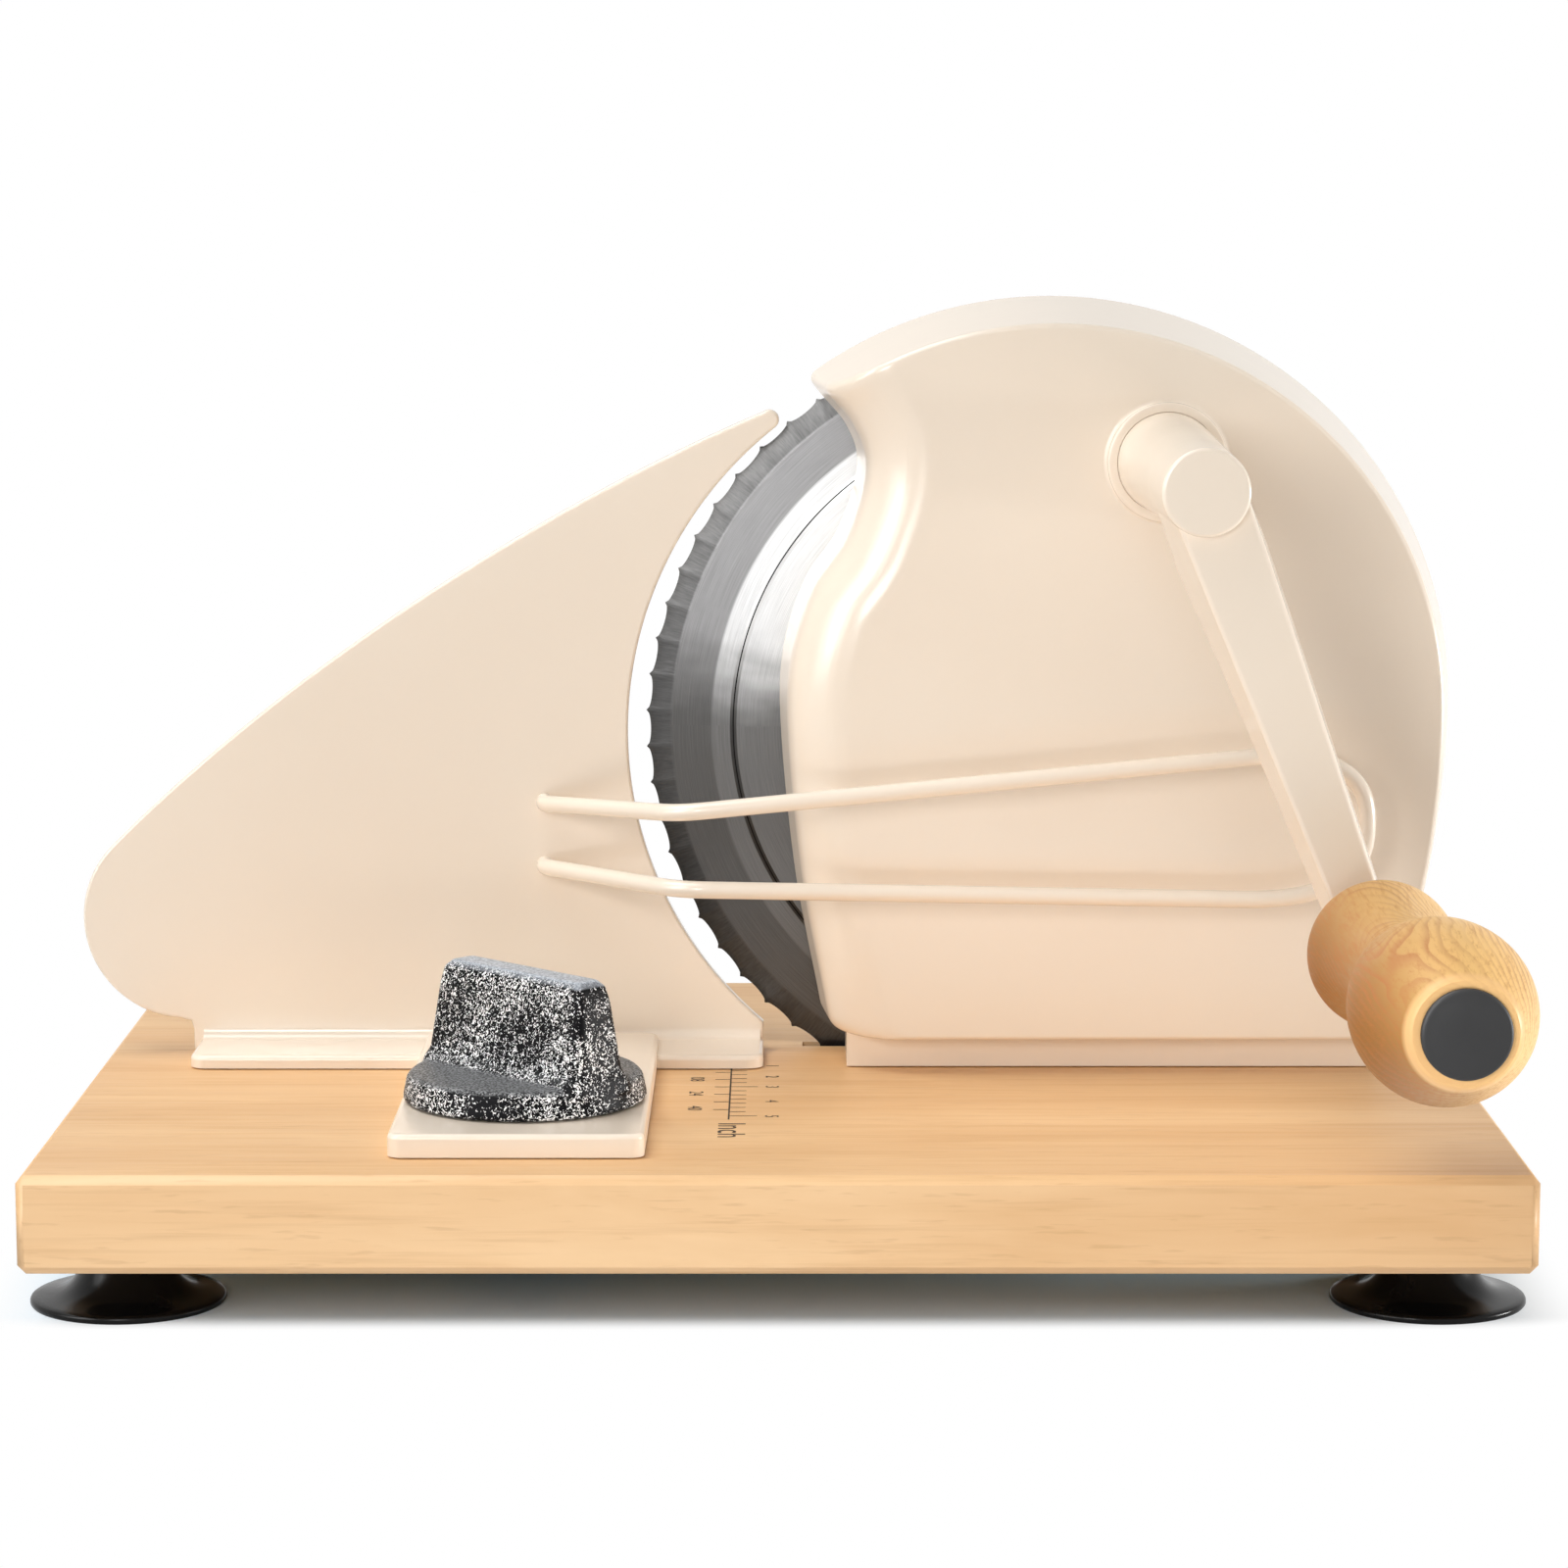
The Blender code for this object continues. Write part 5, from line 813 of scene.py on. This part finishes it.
def make_handle():
    centre = (HANDLE_X, HANDLE_Z)
    outside = [(p.y, GRIP_REAR_Y - p.x) for p in smooth_through(GRIP_PROFILE, 5)]
    hole_end = GRIP_FRONT_Y + PLUG_HOLE_DEPTH
    grip = turned([(BOLT_HOLE, GRIP_REAR_Y), *outside, (PLUG_HOLE, GRIP_FRONT_Y), (PLUG_HOLE, hole_end),
                   (BOLT_HOLE, hole_end)], centre, 128)
    handle = add_piece("turned_grip", leaned(grip), "handle", "grip_wood", "wooden_handle")
    shade(handle, grip_wood(), 40, False)
    rear = GRIP_FRONT_Y - SEAT_GAP
    inner = CAP_RADIUS - 0.001
    dome = [(CAP_RADIUS, rear), (CAP_RADIUS, rear - 0.0006), (CAP_RADIUS - 0.0002, rear - 0.001),
            (CAP_RADIUS - 0.0006, rear - CAP_SIDE), (inner, rear - CAP_SIDE)]
    for step in range(1, 9):
        left = 1 - step / 8
        dome.append((inner * left, rear - CAP_SIDE - CAP_DOME * (1 - left ** 2)))
    inside = GRIP_FRONT_Y + PLUG_DEPTH
    cap = turned([(0, inside), (PLUG_RADIUS, inside), (PLUG_RADIUS, rear), *dome], centre, 96)
    made = add_piece("end_plug", leaned(cap), "handle", "cap_plastic", "handle_end_cap")
    shade(made, cap_plastic(), 50, False)


# Stop plate

def plate_outline():
    arc_centre = (ARC_X, BOARD_TOP + ARC_RISE)
    toe = pi + asin((ARC_RISE - TOE_HEIGHT) / ARC_RADIUS)
    hollow = arc(arc_centre, ARC_RADIUS, toe, TIP_ANGLE, 110)
    radial = Vector(around((0, 0), 1, TIP_ANGLE))
    along = Vector((radial.y, -radial.x))
    low_tip = hollow[-1]
    high_tip = low_tip + radial * TIP_WIDTH
    middle = (low_tip + high_tip) / 2
    tip = []
    for step in range(1, 12):
        turn = pi * step / 12
        tip.append(middle - radial * (TIP_WIDTH / 2 * cos(turn)) + along * (TIP_WIDTH / 2 * sin(turn)))
    nose_centre = (NOSE_X, NOSE_Z)
    nose_top = Vector(around(nose_centre, NOSE_RADIUS, NOSE_ANGLE))
    leaving = Vector((sin(NOSE_ANGLE), -cos(NOSE_ANGLE)))
    arriving = Vector(around((0, 0), 1, TIP_SLOPE))
    brow = bezier((high_tip, high_tip - arriving * BROW_HANDLE, nose_top + leaving * BROW_HANDLE,
                   nose_top), 70)
    nose = arc(nose_centre, NOSE_RADIUS, NOSE_ANGLE, NOSE_END_ANGLE, 44)
    under = NOSE_Z - NOSE_RADIUS
    heel = [(PLATE_FOOT_LEFT - HEEL_STEP, under - HEEL_STEP), (PLATE_FOOT_LEFT, under - HEEL_DROP)]
    foot = [(PLATE_FOOT_LEFT, PLATE_BOTTOM), (PLATE_FOOT_RIGHT, PLATE_BOTTOM)]
    return hollow + tip + brow + nose[1:] + heel + foot


def rounded_block(low, high, corner, lift, steps=8):
    """A plate with rounded corners in plan and an eased top edge."""
    rings = [(0.0, low[2])]
    for turn in quarter(6):
        rings.append((lift * (1 - cos(turn)), high[2] - lift * (1 - sin(turn))))
    made = []
    for inset, z in rings:
        radius = max(corner - inset, 0.0004)
        ring = []
        for x, y, start in ((high[0], high[1], 0), (low[0], high[1], 1), (low[0], low[1], 2),
                            (high[0], low[1], 3)):
            side_x = -1 if x == high[0] else 1
            side_y = -1 if y == high[1] else 1
            middle = (x + side_x * (inset + radius), y + side_y * (inset + radius))
            for step in range(steps + 1):
                ring.append((*around(middle, radius, pi / 2 * (start + step / steps)), z))
        made.append(ring)
    return lofted(made)


def fillet_strip(start_x, end_x):
    """Hollow fillet between the flange's top and the plate's front face."""
    top = PLATE_BOTTOM + FLANGE_THICKNESS
    inside = FILLET_OVERLAP
    profile = [(PLATE_FRONT_Y + inside, top - inside), (PLATE_FRONT_Y - FLANGE_FILLET, top - inside)]
    for turn in quarter(8):
        profile.append((PLATE_FRONT_Y - FLANGE_FILLET * (1 - sin(turn)),
                        top + FLANGE_FILLET * (1 - cos(turn))))
    profile.append((PLATE_FRONT_Y + inside, top + FLANGE_FILLET))
    return lofted([[(x, y, z) for y, z in profile] for x in (start_x, end_x)])


def make_stop_plate():
    plate = add_piece("cast_stop_plate", extruded(plate_outline(), PLATE_FRONT_Y, PLATE_REAR_Y), "plate",
                      "cream_enamel", "stop_plate")
    round_edges(plate, PLATE_EDGE, 4, 60)
    half = PAD_WIDTH / 2
    join(plate,
         rounded_block((PLATE_FOOT_LEFT + FLANGE_INSET, FLANGE_FRONT_Y, PLATE_BOTTOM),
                       (PLATE_FOOT_RIGHT, PLATE_REAR_Y - PLATE_EDGE, PLATE_BOTTOM + FLANGE_THICKNESS),
                       FLANGE_CORNER, FLANGE_EDGE),
         fillet_strip(PLATE_FOOT_LEFT + FLANGE_INSET + PLATE_EDGE, PLATE_FOOT_RIGHT - PLATE_EDGE),
         rounded_block((KNOB_X - half, PAD_FRONT_Y, PLATE_BOTTOM),
                       (KNOB_X + half, PLATE_FRONT_Y - FLANGE_FILLET, PAD_TOP), PAD_CORNER, FLANGE_EDGE))
    for start, end in RUNNERS:
        join(plate, block((KNOB_X - RUNNER_HALF, KNOB_Y + start, PLATE_BOTTOM - RUNNER_DROP),
                          (KNOB_X + RUNNER_HALF, KNOB_Y + end, PLATE_BOTTOM + FLANGE_THICKNESS / 2)))
    cut(plate, rod(LOCK_BORE, PLATE_BOTTOM - 0.002, PAD_TOP + OVERRUN, (KNOB_X, KNOB_Y), "Z"))
    shade(plate, cream_enamel(), 30)


def make_slice_guard():
    corners = [Vector((x, PLATE_FRONT_Y - before, BOARD_TOP + rise)) for x, before, rise in GUARD_CORNERS]
    path = [corners[0]]
    for before, corner, after, (run_in, run_out) in zip(corners, corners[1:], corners[2:], GUARD_BENDS):
        start = corner - (corner - before).normalized() * run_in
        end = corner + (after - corner).normalized() * run_out
        path += [bend(start, corner, end, step / 16) for step in range(17)]
    path.append(corners[-1])
    curve = bpy.data.curves.new("bent_wire", "CURVE")
    assign(curve, dimensions="3D", bevel_depth=WIRE_RADIUS, bevel_resolution=7, use_fill_caps=True)
    line = curve.splines.new("POLY")
    line.points.add(len(path) - 1)
    for point, place in zip(line.points, path):
        point.co = (*(place + SHIFT), 1)
    guard = add_piece("wire_guard", mesh_of_curve(curve), "plate", "cream_enamel", "slice_guard")
    shade(guard, cream_enamel(), 40, False)


# Lock knob

def make_knob():
    centre = (KNOB_X, KNOB_Y)
    recess_top = KNOB_BOTTOM + KNOB_RECESS_DEPTH
    disc = turned(((0, recess_top), (KNOB_RECESS_RADIUS, recess_top), (KNOB_RECESS_RADIUS, KNOB_BOTTOM),
                   (KNOB_RADIUS - KNOB_EDGE, KNOB_BOTTOM), (KNOB_RADIUS, KNOB_BOTTOM + KNOB_EDGE),
                   (KNOB_TOP_RADIUS + KNOB_EDGE, RIM_TOP - 2 * KNOB_EDGE),
                   (KNOB_TOP_RADIUS - KNOB_EDGE, RIM_TOP), (0, RIM_TOP)), centre, 144, "Z")
    knob = add_piece("speckled_knob", disc, "lock", "speckled_grey", "lock_knob")
    turning = Matrix.Rotation(WING_TURN, 2)
    rings = []
    for share, length, thickness, corner in WING_SECTIONS:
        ring = []
        for number, (side_x, side_y) in enumerate(((1, 1), (-1, 1), (-1, -1), (1, -1))):
            middle = Vector((side_x * (length - corner), side_y * (thickness - corner)))
            for step in range(9):
                outward = Vector(around((0, 0), 1, pi / 2 * (number + step / 8)))
                flat = turning @ (middle + outward * corner)
                ring.append((KNOB_X + flat.x, KNOB_Y + flat.y, RIM_TOP + (WING_TOP - RIM_TOP) * share))
        rings.append(ring)
    join(knob, lofted(rings))
    cut(knob, rod(LOCK_BORE, KNOB_BOTTOM - OVERRUN, KNOB_BOTTOM + LOCK_BORE_DEPTH, centre, "Z"))
    assign(knob.modifiers.new("even skin", "REMESH"), mode="VOXEL", voxel_size=KNOB_SKIN)
    assign(knob.modifiers.new("soften", "SMOOTH"), factor=0.5, iterations=5)
    settle(knob)
    shade(knob, speckled_grey(), 60, False)


# Materials

def new_material(name):
    material = bpy.data.materials.new(name)
    material.use_nodes = True
    return material, material.node_tree, material.node_tree.nodes["Principled BSDF"]


def feed(socket, value):
    """Link a socket to another one, or give it a plain value."""
    if isinstance(value, bpy.types.NodeSocket):
        value.id_data.links.new(value, socket)
    elif socket.type == "RGBA":
        socket.default_value = (*value, 1.0)
    else:
        socket.default_value = value


def set_inputs(node, inputs):
    for name, value in inputs.items():
        feed(node.inputs[name], value)


def add(kind, inputs, **settings):
    """A node in the tree of the sockets that feed it; gives its outputs."""
    tree = next(value.id_data for value in inputs.values() if isinstance(value, bpy.types.NodeSocket))
    node = assign(tree.nodes.new(kind), **settings)
    set_inputs(node, inputs)
    return node.outputs


def maths(operation, *values):
    return add("ShaderNodeMath", dict(enumerate(values)), operation=operation)[0]


def times(first, second):
    return maths("MULTIPLY", first, second)


def vector_maths(operation, *values):
    outputs = add("ShaderNodeVectorMath", dict(enumerate(values)), operation=operation)
    return outputs["Value" if operation == "LENGTH" else "Vector"]


def noise(vector, scale, detail=2.0, roughness=0.5, distortion=0.0, output="Fac"):
    inputs = {"Vector": vector, "Scale": scale, "Detail": detail, "Roughness": roughness,
              "Distortion": distortion}
    return add("ShaderNodeTexNoise", inputs)[output]


def span(value, from_low, from_high, to_low=0.0, to_high=1.0, kind="LINEAR"):
    inputs = dict(enumerate((value, from_low, from_high, to_low, to_high)))
    return add("ShaderNodeMapRange", inputs, interpolation_type=kind)["Result"]


def eased(value, low, high):
    return span(value, low, high, kind="SMOOTHSTEP")


def mix(factor, first, second, blend="MIX"):
    inputs = {0: factor, 6: first, 7: second}
    return add("ShaderNodeMix", inputs, data_type="RGBA", blend_type=blend)[2]


def texture_place(tree, kind):
    return tree.nodes.new("ShaderNodeTexCoord").outputs[kind]


def scaled(tree, scale=(1, 1, 1), location=(0, 0, 0)):
    """Object coordinates, scaled for a grain or a brush."""
    inputs = {"Vector": texture_place(tree, "Object"), "Scale": scale, "Location": location}
    return add("ShaderNodeMapping", inputs)["Vector"]


def parts_of(vector):
    return add("ShaderNodeSeparateXYZ", {"Vector": vector})


def bump(shader, height, strength, distance):
    inputs = {"Height": height, "Strength": strength, "Distance": distance}
    feed(shader.inputs["Normal"], add("ShaderNodeBump", inputs)["Normal"])


def clouded(name, dark, light, cloud, rough, grain, strength, distance=0.0002, more=None):
    """A plain surface: a faint cloud in its colour and roughness, and a fine grain."""
    material, tree, shader = new_material(name)
    place = scaled(tree)
    drift = noise(place, *cloud)
    set_inputs(shader, {"Base Color": mix(drift, dark, light),
                        "Roughness": span(drift, 0.3, 0.7, *rough), **(more or {})})
    bump(shader, noise(place, *grain), strength, distance)
    return material


def cream_enamel():
    found = bpy.data.materials.get("cream enamel")
    if found:
        return found
    material, tree, shader = new_material("cream enamel")
    place = scaled(tree)
    drift = span(noise(place, 9.0, 3.0), 0.3, 0.7)
    set_inputs(shader, {
        "Base Color": mix(drift, (0.88, 0.765, 0.64), (0.905, 0.8, 0.68)),
        "Roughness": span(noise(place, 35.0, 3.0), 0.3, 0.7, 0.24, 0.27),
        "Coat Weight": 0.35,
        "Coat Roughness": 0.13,
    })
    bump(shader, noise(place, 420.0, 2.0), 0.04, 0.0003)
    return material


def beech():
    """Grain lines along X, fine pores and flecks; faces turned to the front are painted a little lighter,
    as painted light.
    """
    material, tree, shader = new_material("oiled beech")
    warp = times(noise(scaled(tree, (2.2, 9, 9)), 1.0, 3.0), 6.0)
    lines = vector_maths("ADD", scaled(tree, (3.0, 60, 60)), warp)
    bands = span(noise(lines, 1.0, 4.0, 0.6), 0.3, 0.72)
    fine = noise(scaled(tree, (14, 420, 420)), 1.0, 3.0, 0.7)
    flecks = noise(scaled(tree, (90, 900, 900)), 1.0, 2.0, 0.5)
    top = mix(bands, (0.85, 0.558, 0.292), (0.728, 0.43, 0.195))
    # Lighter colours for faces turned to the front: painted light
    edge = mix(bands, (0.93, 0.64, 0.365), (0.8, 0.5, 0.25))
    facing = parts_of(texture_place(tree, "Normal"))
    tone = mix(span(facing["Y"], -0.4, -0.9), top, edge)
    tone = mix(span(fine, 0.52, 0.75, 0.0, 0.38), tone, (0.6, 0.33, 0.14))
    tone = mix(span(flecks, 0.62, 0.72, 0.0, 0.22), tone, (0.52, 0.27, 0.11))
    set_inputs(shader, {"Base Color": tone, "Roughness": span(fine, 0.3, 0.7, 0.42, 0.55)})
    bump(shader, fine, 0.12, 0.0003)
    return material


def printed_ink():
    material, tree, shader = new_material("printed ink")
    cloud = span(noise(scaled(tree), 1800.0, 3.0), 0.35, 0.65)
    tone = mix(cloud, (0.03, 0.016, 0.008), (0.085, 0.045, 0.022))
    set_inputs(shader, {"Base Color": tone, "Roughness": 0.6})
    return material


def grip_wood():
    """Growth rings about a pith that runs out near the top left of the front bulb; the left side is
    painted in shade, the right side painted lit, and the front end carries a painted highlight.
    """
    material, tree, shader = new_material("varnished grip wood")
    place = scaled(tree, location=PITH_OFFSET - GRIP_FRONT)
    wobble = noise(scaled(tree, (45, 22, 45)), 1.0, 3.0, output="Color")
    wobble = vector_maths("SUBTRACT", wobble, (0.5, 0.5, 0.5))
    place = vector_maths("ADD", place, vector_maths("MULTIPLY", wobble, RING_WOBBLE))
    across = vector_maths("SUBTRACT", place, vector_maths("PROJECT", place, PITH))
    reach = vector_maths("LENGTH", across)
    wave = maths("FRACT", times(reach, RINGS_PER_METRE))
    late = times(eased(wave, 0.35, 0.92), span(wave, 0.94, 1.0, 1.0, 0.0))
    patch = span(noise(scaled(tree, (60, 40, 60)), 1.0, 2.0), 0.38, 0.62, 0.06, 0.56)
    fibres = noise(scaled(tree, (1100, 60, 1100)), 1.0, 3.0, 0.7)
    parts = parts_of(texture_place(tree, "Object"))
    # Painted light and shade: dark on the grip's left side, lit on its right side
    side = maths("MULTIPLY_ADD", parts["Z"], 0.4, parts["X"])
    tone = mix(eased(side, 0.142, 0.176), (0.29, 0.112, 0.02), (1.0, 0.63, 0.235))
    tone = mix(times(late, patch), tone, (0.47, 0.16, 0.05))
    tone = mix(span(fibres, 0.5, 0.68, 0.0, 0.42), tone, (0.5, 0.185, 0.055))
    # Painted highlight: a pale band round the grip's front end
    rim = span(parts["Y"], GRIP_FRONT.y + 0.0026, GRIP_FRONT.y + 0.0012, 0.0, 0.75)
    set_inputs(shader, {
        "Base Color": mix(rim, tone, (0.96, 0.6, 0.27)),
        "Roughness": span(fibres, 0.3, 0.7, 0.36, 0.5),
        "Coat Weight": 0.06,
        "Coat Roughness": 0.25,
        "Specular IOR Level": 0.25,
    })
    bump(shader, fibres, 0.12, 0.0002)
    return material


def black_rubber():
    return clouded("black rubber", (0.002, 0.002, 0.002), (0.006, 0.006, 0.006), (60.0, 4.0), (0.16, 0.3),
                   (500.0, 2.0), 0.05, 0.0003, {"Specular IOR Level": 0.16})


def cap_plastic():
    return clouded("dark cap moulding", (0.012, 0.012, 0.013), (0.024, 0.024, 0.025), (90.0, 3.0),
                   (0.42, 0.55), (2500.0, 2.0), 0.12)


def turned_metal(name, dark, light, rough):
    return clouded(name, dark, light, (120.0, 3.0), rough, (900.0, 4.0, 0.7), 0.08, more={"Metallic": 1.0})


def natural_nylon():
    return clouded("natural nylon", (0.74, 0.71, 0.63), (0.84, 0.81, 0.74), (70.0, 4.0), (0.38, 0.52),
                   (1200.0, 2.0), 0.08)


def blade_steel():
    """Brushed in rings, the ground edge across; two opposite fans of painted highlight, with painted shade
    between them.
    """
    material, tree, shader = new_material("brushed blade steel")
    place = scaled(tree, location=(-BLADE_X - SHIFT.x, 0, -BLADE_Z))
    millimetres = vector_maths("LENGTH", vector_maths("MULTIPLY", place, (1000, 0, 1000)))
    parts = parts_of(place)
    angle = maths("ARCTAN2", parts["Z"], parts["X"])

    def polar_noise(along, across, detail, roughness=0.5):
        inputs = {"X": times(angle, along), "Y": times(millimetres, across)}
        return noise(add("ShaderNodeCombineXYZ", inputs)["Vector"], 1.0, detail, roughness)

    ringed = polar_noise(5.0, 7.0, 4.0, 0.7)
    rayed = polar_noise(200.0, 0.25, 4.0, 0.7)
    ground = span(millimetres, *GROUND_EDGE)
    brush = mix(ground, ringed, rayed)
    # Painted highlight: two opposite bright fans, painted shade between them
    painted_fan = maths("COSINE", maths("MULTIPLY_ADD", angle, 2.0, -2 * PAINTED_FAN_ANGLE))
    painted_fan = maths("MULTIPLY_ADD", polar_noise(9.0, 0.05, 2.0), 0.45, maths("ADD", painted_fan, -0.225))
    painted_lit = eased(painted_fan, 0.18, 0.84)
    # Each zone has a shaded and a lit colour, mixed by the painted highlight fans
    dull = mix(painted_lit, (0.108, 0.106, 0.104), (0.3, 0.297, 0.299))
    clear = mix(painted_lit, (0.16, 0.159, 0.158), (0.72, 0.72, 0.72))
    edge = mix(painted_lit, (0.078, 0.077, 0.076), (0.098, 0.097, 0.096))
    tone = mix(span(millimetres, *CLEAR_DISC, 1.0, 0.0), dull, clear)
    tone = mix(ground, tone, edge)
    # A thin line of painted shade where the dish steps
    tone = mix(maths("COMPARE", millimetres, *DISH_STEP_SHADE), tone, (0.02, 0.02, 0.02))
    tone = mix(1.0, tone, span(brush, 0.3, 0.7, 0.72, 1.1), "MULTIPLY")
    set_inputs(shader, {"Base Color": tone, "Metallic": 1.0, "Roughness": 0.34})
    bump(shader, brush, 0.12, 0.0002)
    return material


def speckled_grey():
    """Black and white worms on the upright faces, with more white or more black by the way a face turns as
    painted light and shade; on the level ones a fine grey with a painted sheen, lighter the higher they
    stand.
    """
    material, tree, shader = new_material("speckled moulding")
    place = scaled(tree)
    facing = parts_of(texture_place(tree, "Normal"))
    height = parts_of(place)["Z"]

    def strip(low, high):
        """Full where X of the facing is midway between these, none at both."""
        return maths("PINGPONG", span(facing["X"], low, high, 0.0, 2.0), 1.0)

    patches = span(noise(place, 95.0, 1.0), 0.0, 1.0, -0.115, 0.105)
    worms = maths("ADD", noise(place, 1350.0, 1.0, 0.5, 1.6), patches)
    upper = span(height, RIM_TOP + 0.008, RIM_TOP + 0.011)
    # Painted light and shade: faces turned to some sides get more white, others more black
    painted_light_shares = ((strip(0.02, 0.46), 0.06), (strip(-0.5, 0.06), -0.085),
              (times(strip(0.0, 0.7), upper), -0.13),
              (span(facing["X"], 0.45, 0.75), -0.034))
    for mask, share in painted_light_shares:
        worms = maths("MULTIPLY_ADD", mask, share, worms)
    speckle = eased(worms, 0.555, 0.597)
    bold = mix(speckle, (0.003, 0.003, 0.004), (0.95, 0.96, 0.97))
    dust = span(noise(place, 1900.0, 1.0), 0.42, 0.6)
    # Level faces painted lighter and bluer as a sheen from above, the higher ones lighter still
    low = mix(dust, (0.048, 0.05, 0.054), (0.3, 0.308, 0.318))
    high = mix(dust, (0.34, 0.37, 0.42), (0.6, 0.64, 0.7))
    painted_sheen_top = mix(span(height, RIM_TOP + 0.008, RIM_TOP + 0.014), low, high)
    tone = mix(eased(facing["Z"], 0.55, 0.88), bold, painted_sheen_top)
    set_inputs(shader, {"Base Color": tone, "Roughness": 0.38, "Specular IOR Level": 0.07})
    bump(shader, worms, 0.25, 0.0003)
    return material


def finish_kept_nodes():
    """Materials for the small solids that stay as they are."""
    steel = turned_metal("bare steel", (0.42, 0.42, 0.43), (0.58, 0.58, 0.59), (0.27, 0.4))
    bronze = turned_metal("sintered bronze", (0.42, 0.27, 0.11), (0.56, 0.38, 0.17), (0.37, 0.5))
    nylon = natural_nylon()
    slots = {part["node"]: part["material_slot"] for part in frame["record"]["subparts"]}
    for name, node in frame["nodes"].items():
        if node.hide_render:
            continue
        material = {"bronze": bronze, "gear_nylon": nylon}.get(slots[name], steel)
        for slot in node.material_slots:
            slot.material = material


# Stage

def seen_rays(tree):
    """One for what the camera sees, directly or in a gloss, and none for stray light."""
    path = tree.nodes.new("ShaderNodeLightPath").outputs
    return maths("MAXIMUM", path["Is Camera Ray"], path["Is Glossy Ray"])


def make_floor():
    """A white sweep that keeps the machine's shadow only under and close to it."""
    shape = bmesh.new()
    bmesh.ops.create_grid(shape, x_segments=1, y_segments=1, size=FLOOR_HALF)
    mesh = bpy.data.meshes.new("floor")
    shape.to_mesh(mesh)
    shape.free()
    material, tree, shader = new_material("pale floor")
    place = texture_place(tree, "Object")
    away = vector_maths("ABSOLUTE", vector_maths("SUBTRACT", place, SHADOW_CENTRE))
    away = vector_maths("MAXIMUM", vector_maths("SUBTRACT", away, SHADOW_HALF), (0, 0, 0))
    away = vector_maths("LENGTH", vector_maths("MULTIPLY", away, SHADOW_STRETCH))
    seen = seen_rays(tree)
    depth = span(parts_of(place)["Y"], -0.03, -0.005)
    shaded = mix(depth, (0.7, 0.86, 1.0), (0.56, 0.81, 1.0))
    set_inputs(shader, {"Base Color": mix(seen, (0.75, 0.75, 0.75), shaded), "Roughness": 0.8,
                        "Specular IOR Level": 0.1})
    factor = times(eased(away, 0.0, SHADOW_FADE), seen)
    glow = tree.nodes.new("ShaderNodeEmission").outputs[0]
    blend = add("ShaderNodeMixShader", {0: factor, 1: shader.outputs[0], 2: glow})
    feed(tree.nodes["Material Output"].inputs["Surface"], blend[0])
    mesh.materials.append(material)
    add_object("floor", mesh)


def make_world():
    world = bpy.data.worlds.new("studio")
    world.use_nodes = True
    tree = world.node_tree
    seen = seen_rays(tree)
    set_inputs(tree.nodes["Background"], {
        "Color": mix(seen, (1.0, 0.93, 0.77), (1, 1, 1)),
        "Strength": span(seen, 0.0, 1.0, ROOM_LIGHT, 1.0),
    })
    bpy.context.scene.world = world


def make_lights():
    for name, place, aim, width, height, watts in LIGHTS:
        lamp = bpy.data.lights.new(name, "AREA")
        assign(lamp, shape="RECTANGLE", size=width, size_y=height, energy=watts)
        turn = (Vector(aim) - Vector(place)).to_track_quat("-Z", "Y").to_euler()
        assign(add_object(name, lamp), location=place, rotation_euler=turn,
               visible_glossy=name != "low front fill", visible_diffuse=name != "left strip")


def make_camera():
    lens = assign(bpy.data.cameras.new("camera"), sensor_width=36.0, lens=CAMERA_LENS)
    camera = add_object("camera", lens)
    assign(camera, location=CAMERA_PLACE, rotation_euler=(pi / 2 - CAMERA_TILT, 0, 0))
    bpy.context.scene.camera = camera


make_camera()
make_world()
make_lights()
make_floor()
make_board()
make_scale()
make_feet()
make_housing()
make_blade()
make_crank_arm()
make_handle()
make_stop_plate()
make_slice_guard()
make_knob()
finish_kept_nodes()
bpy.context.scene.view_settings.view_transform = "Standard"
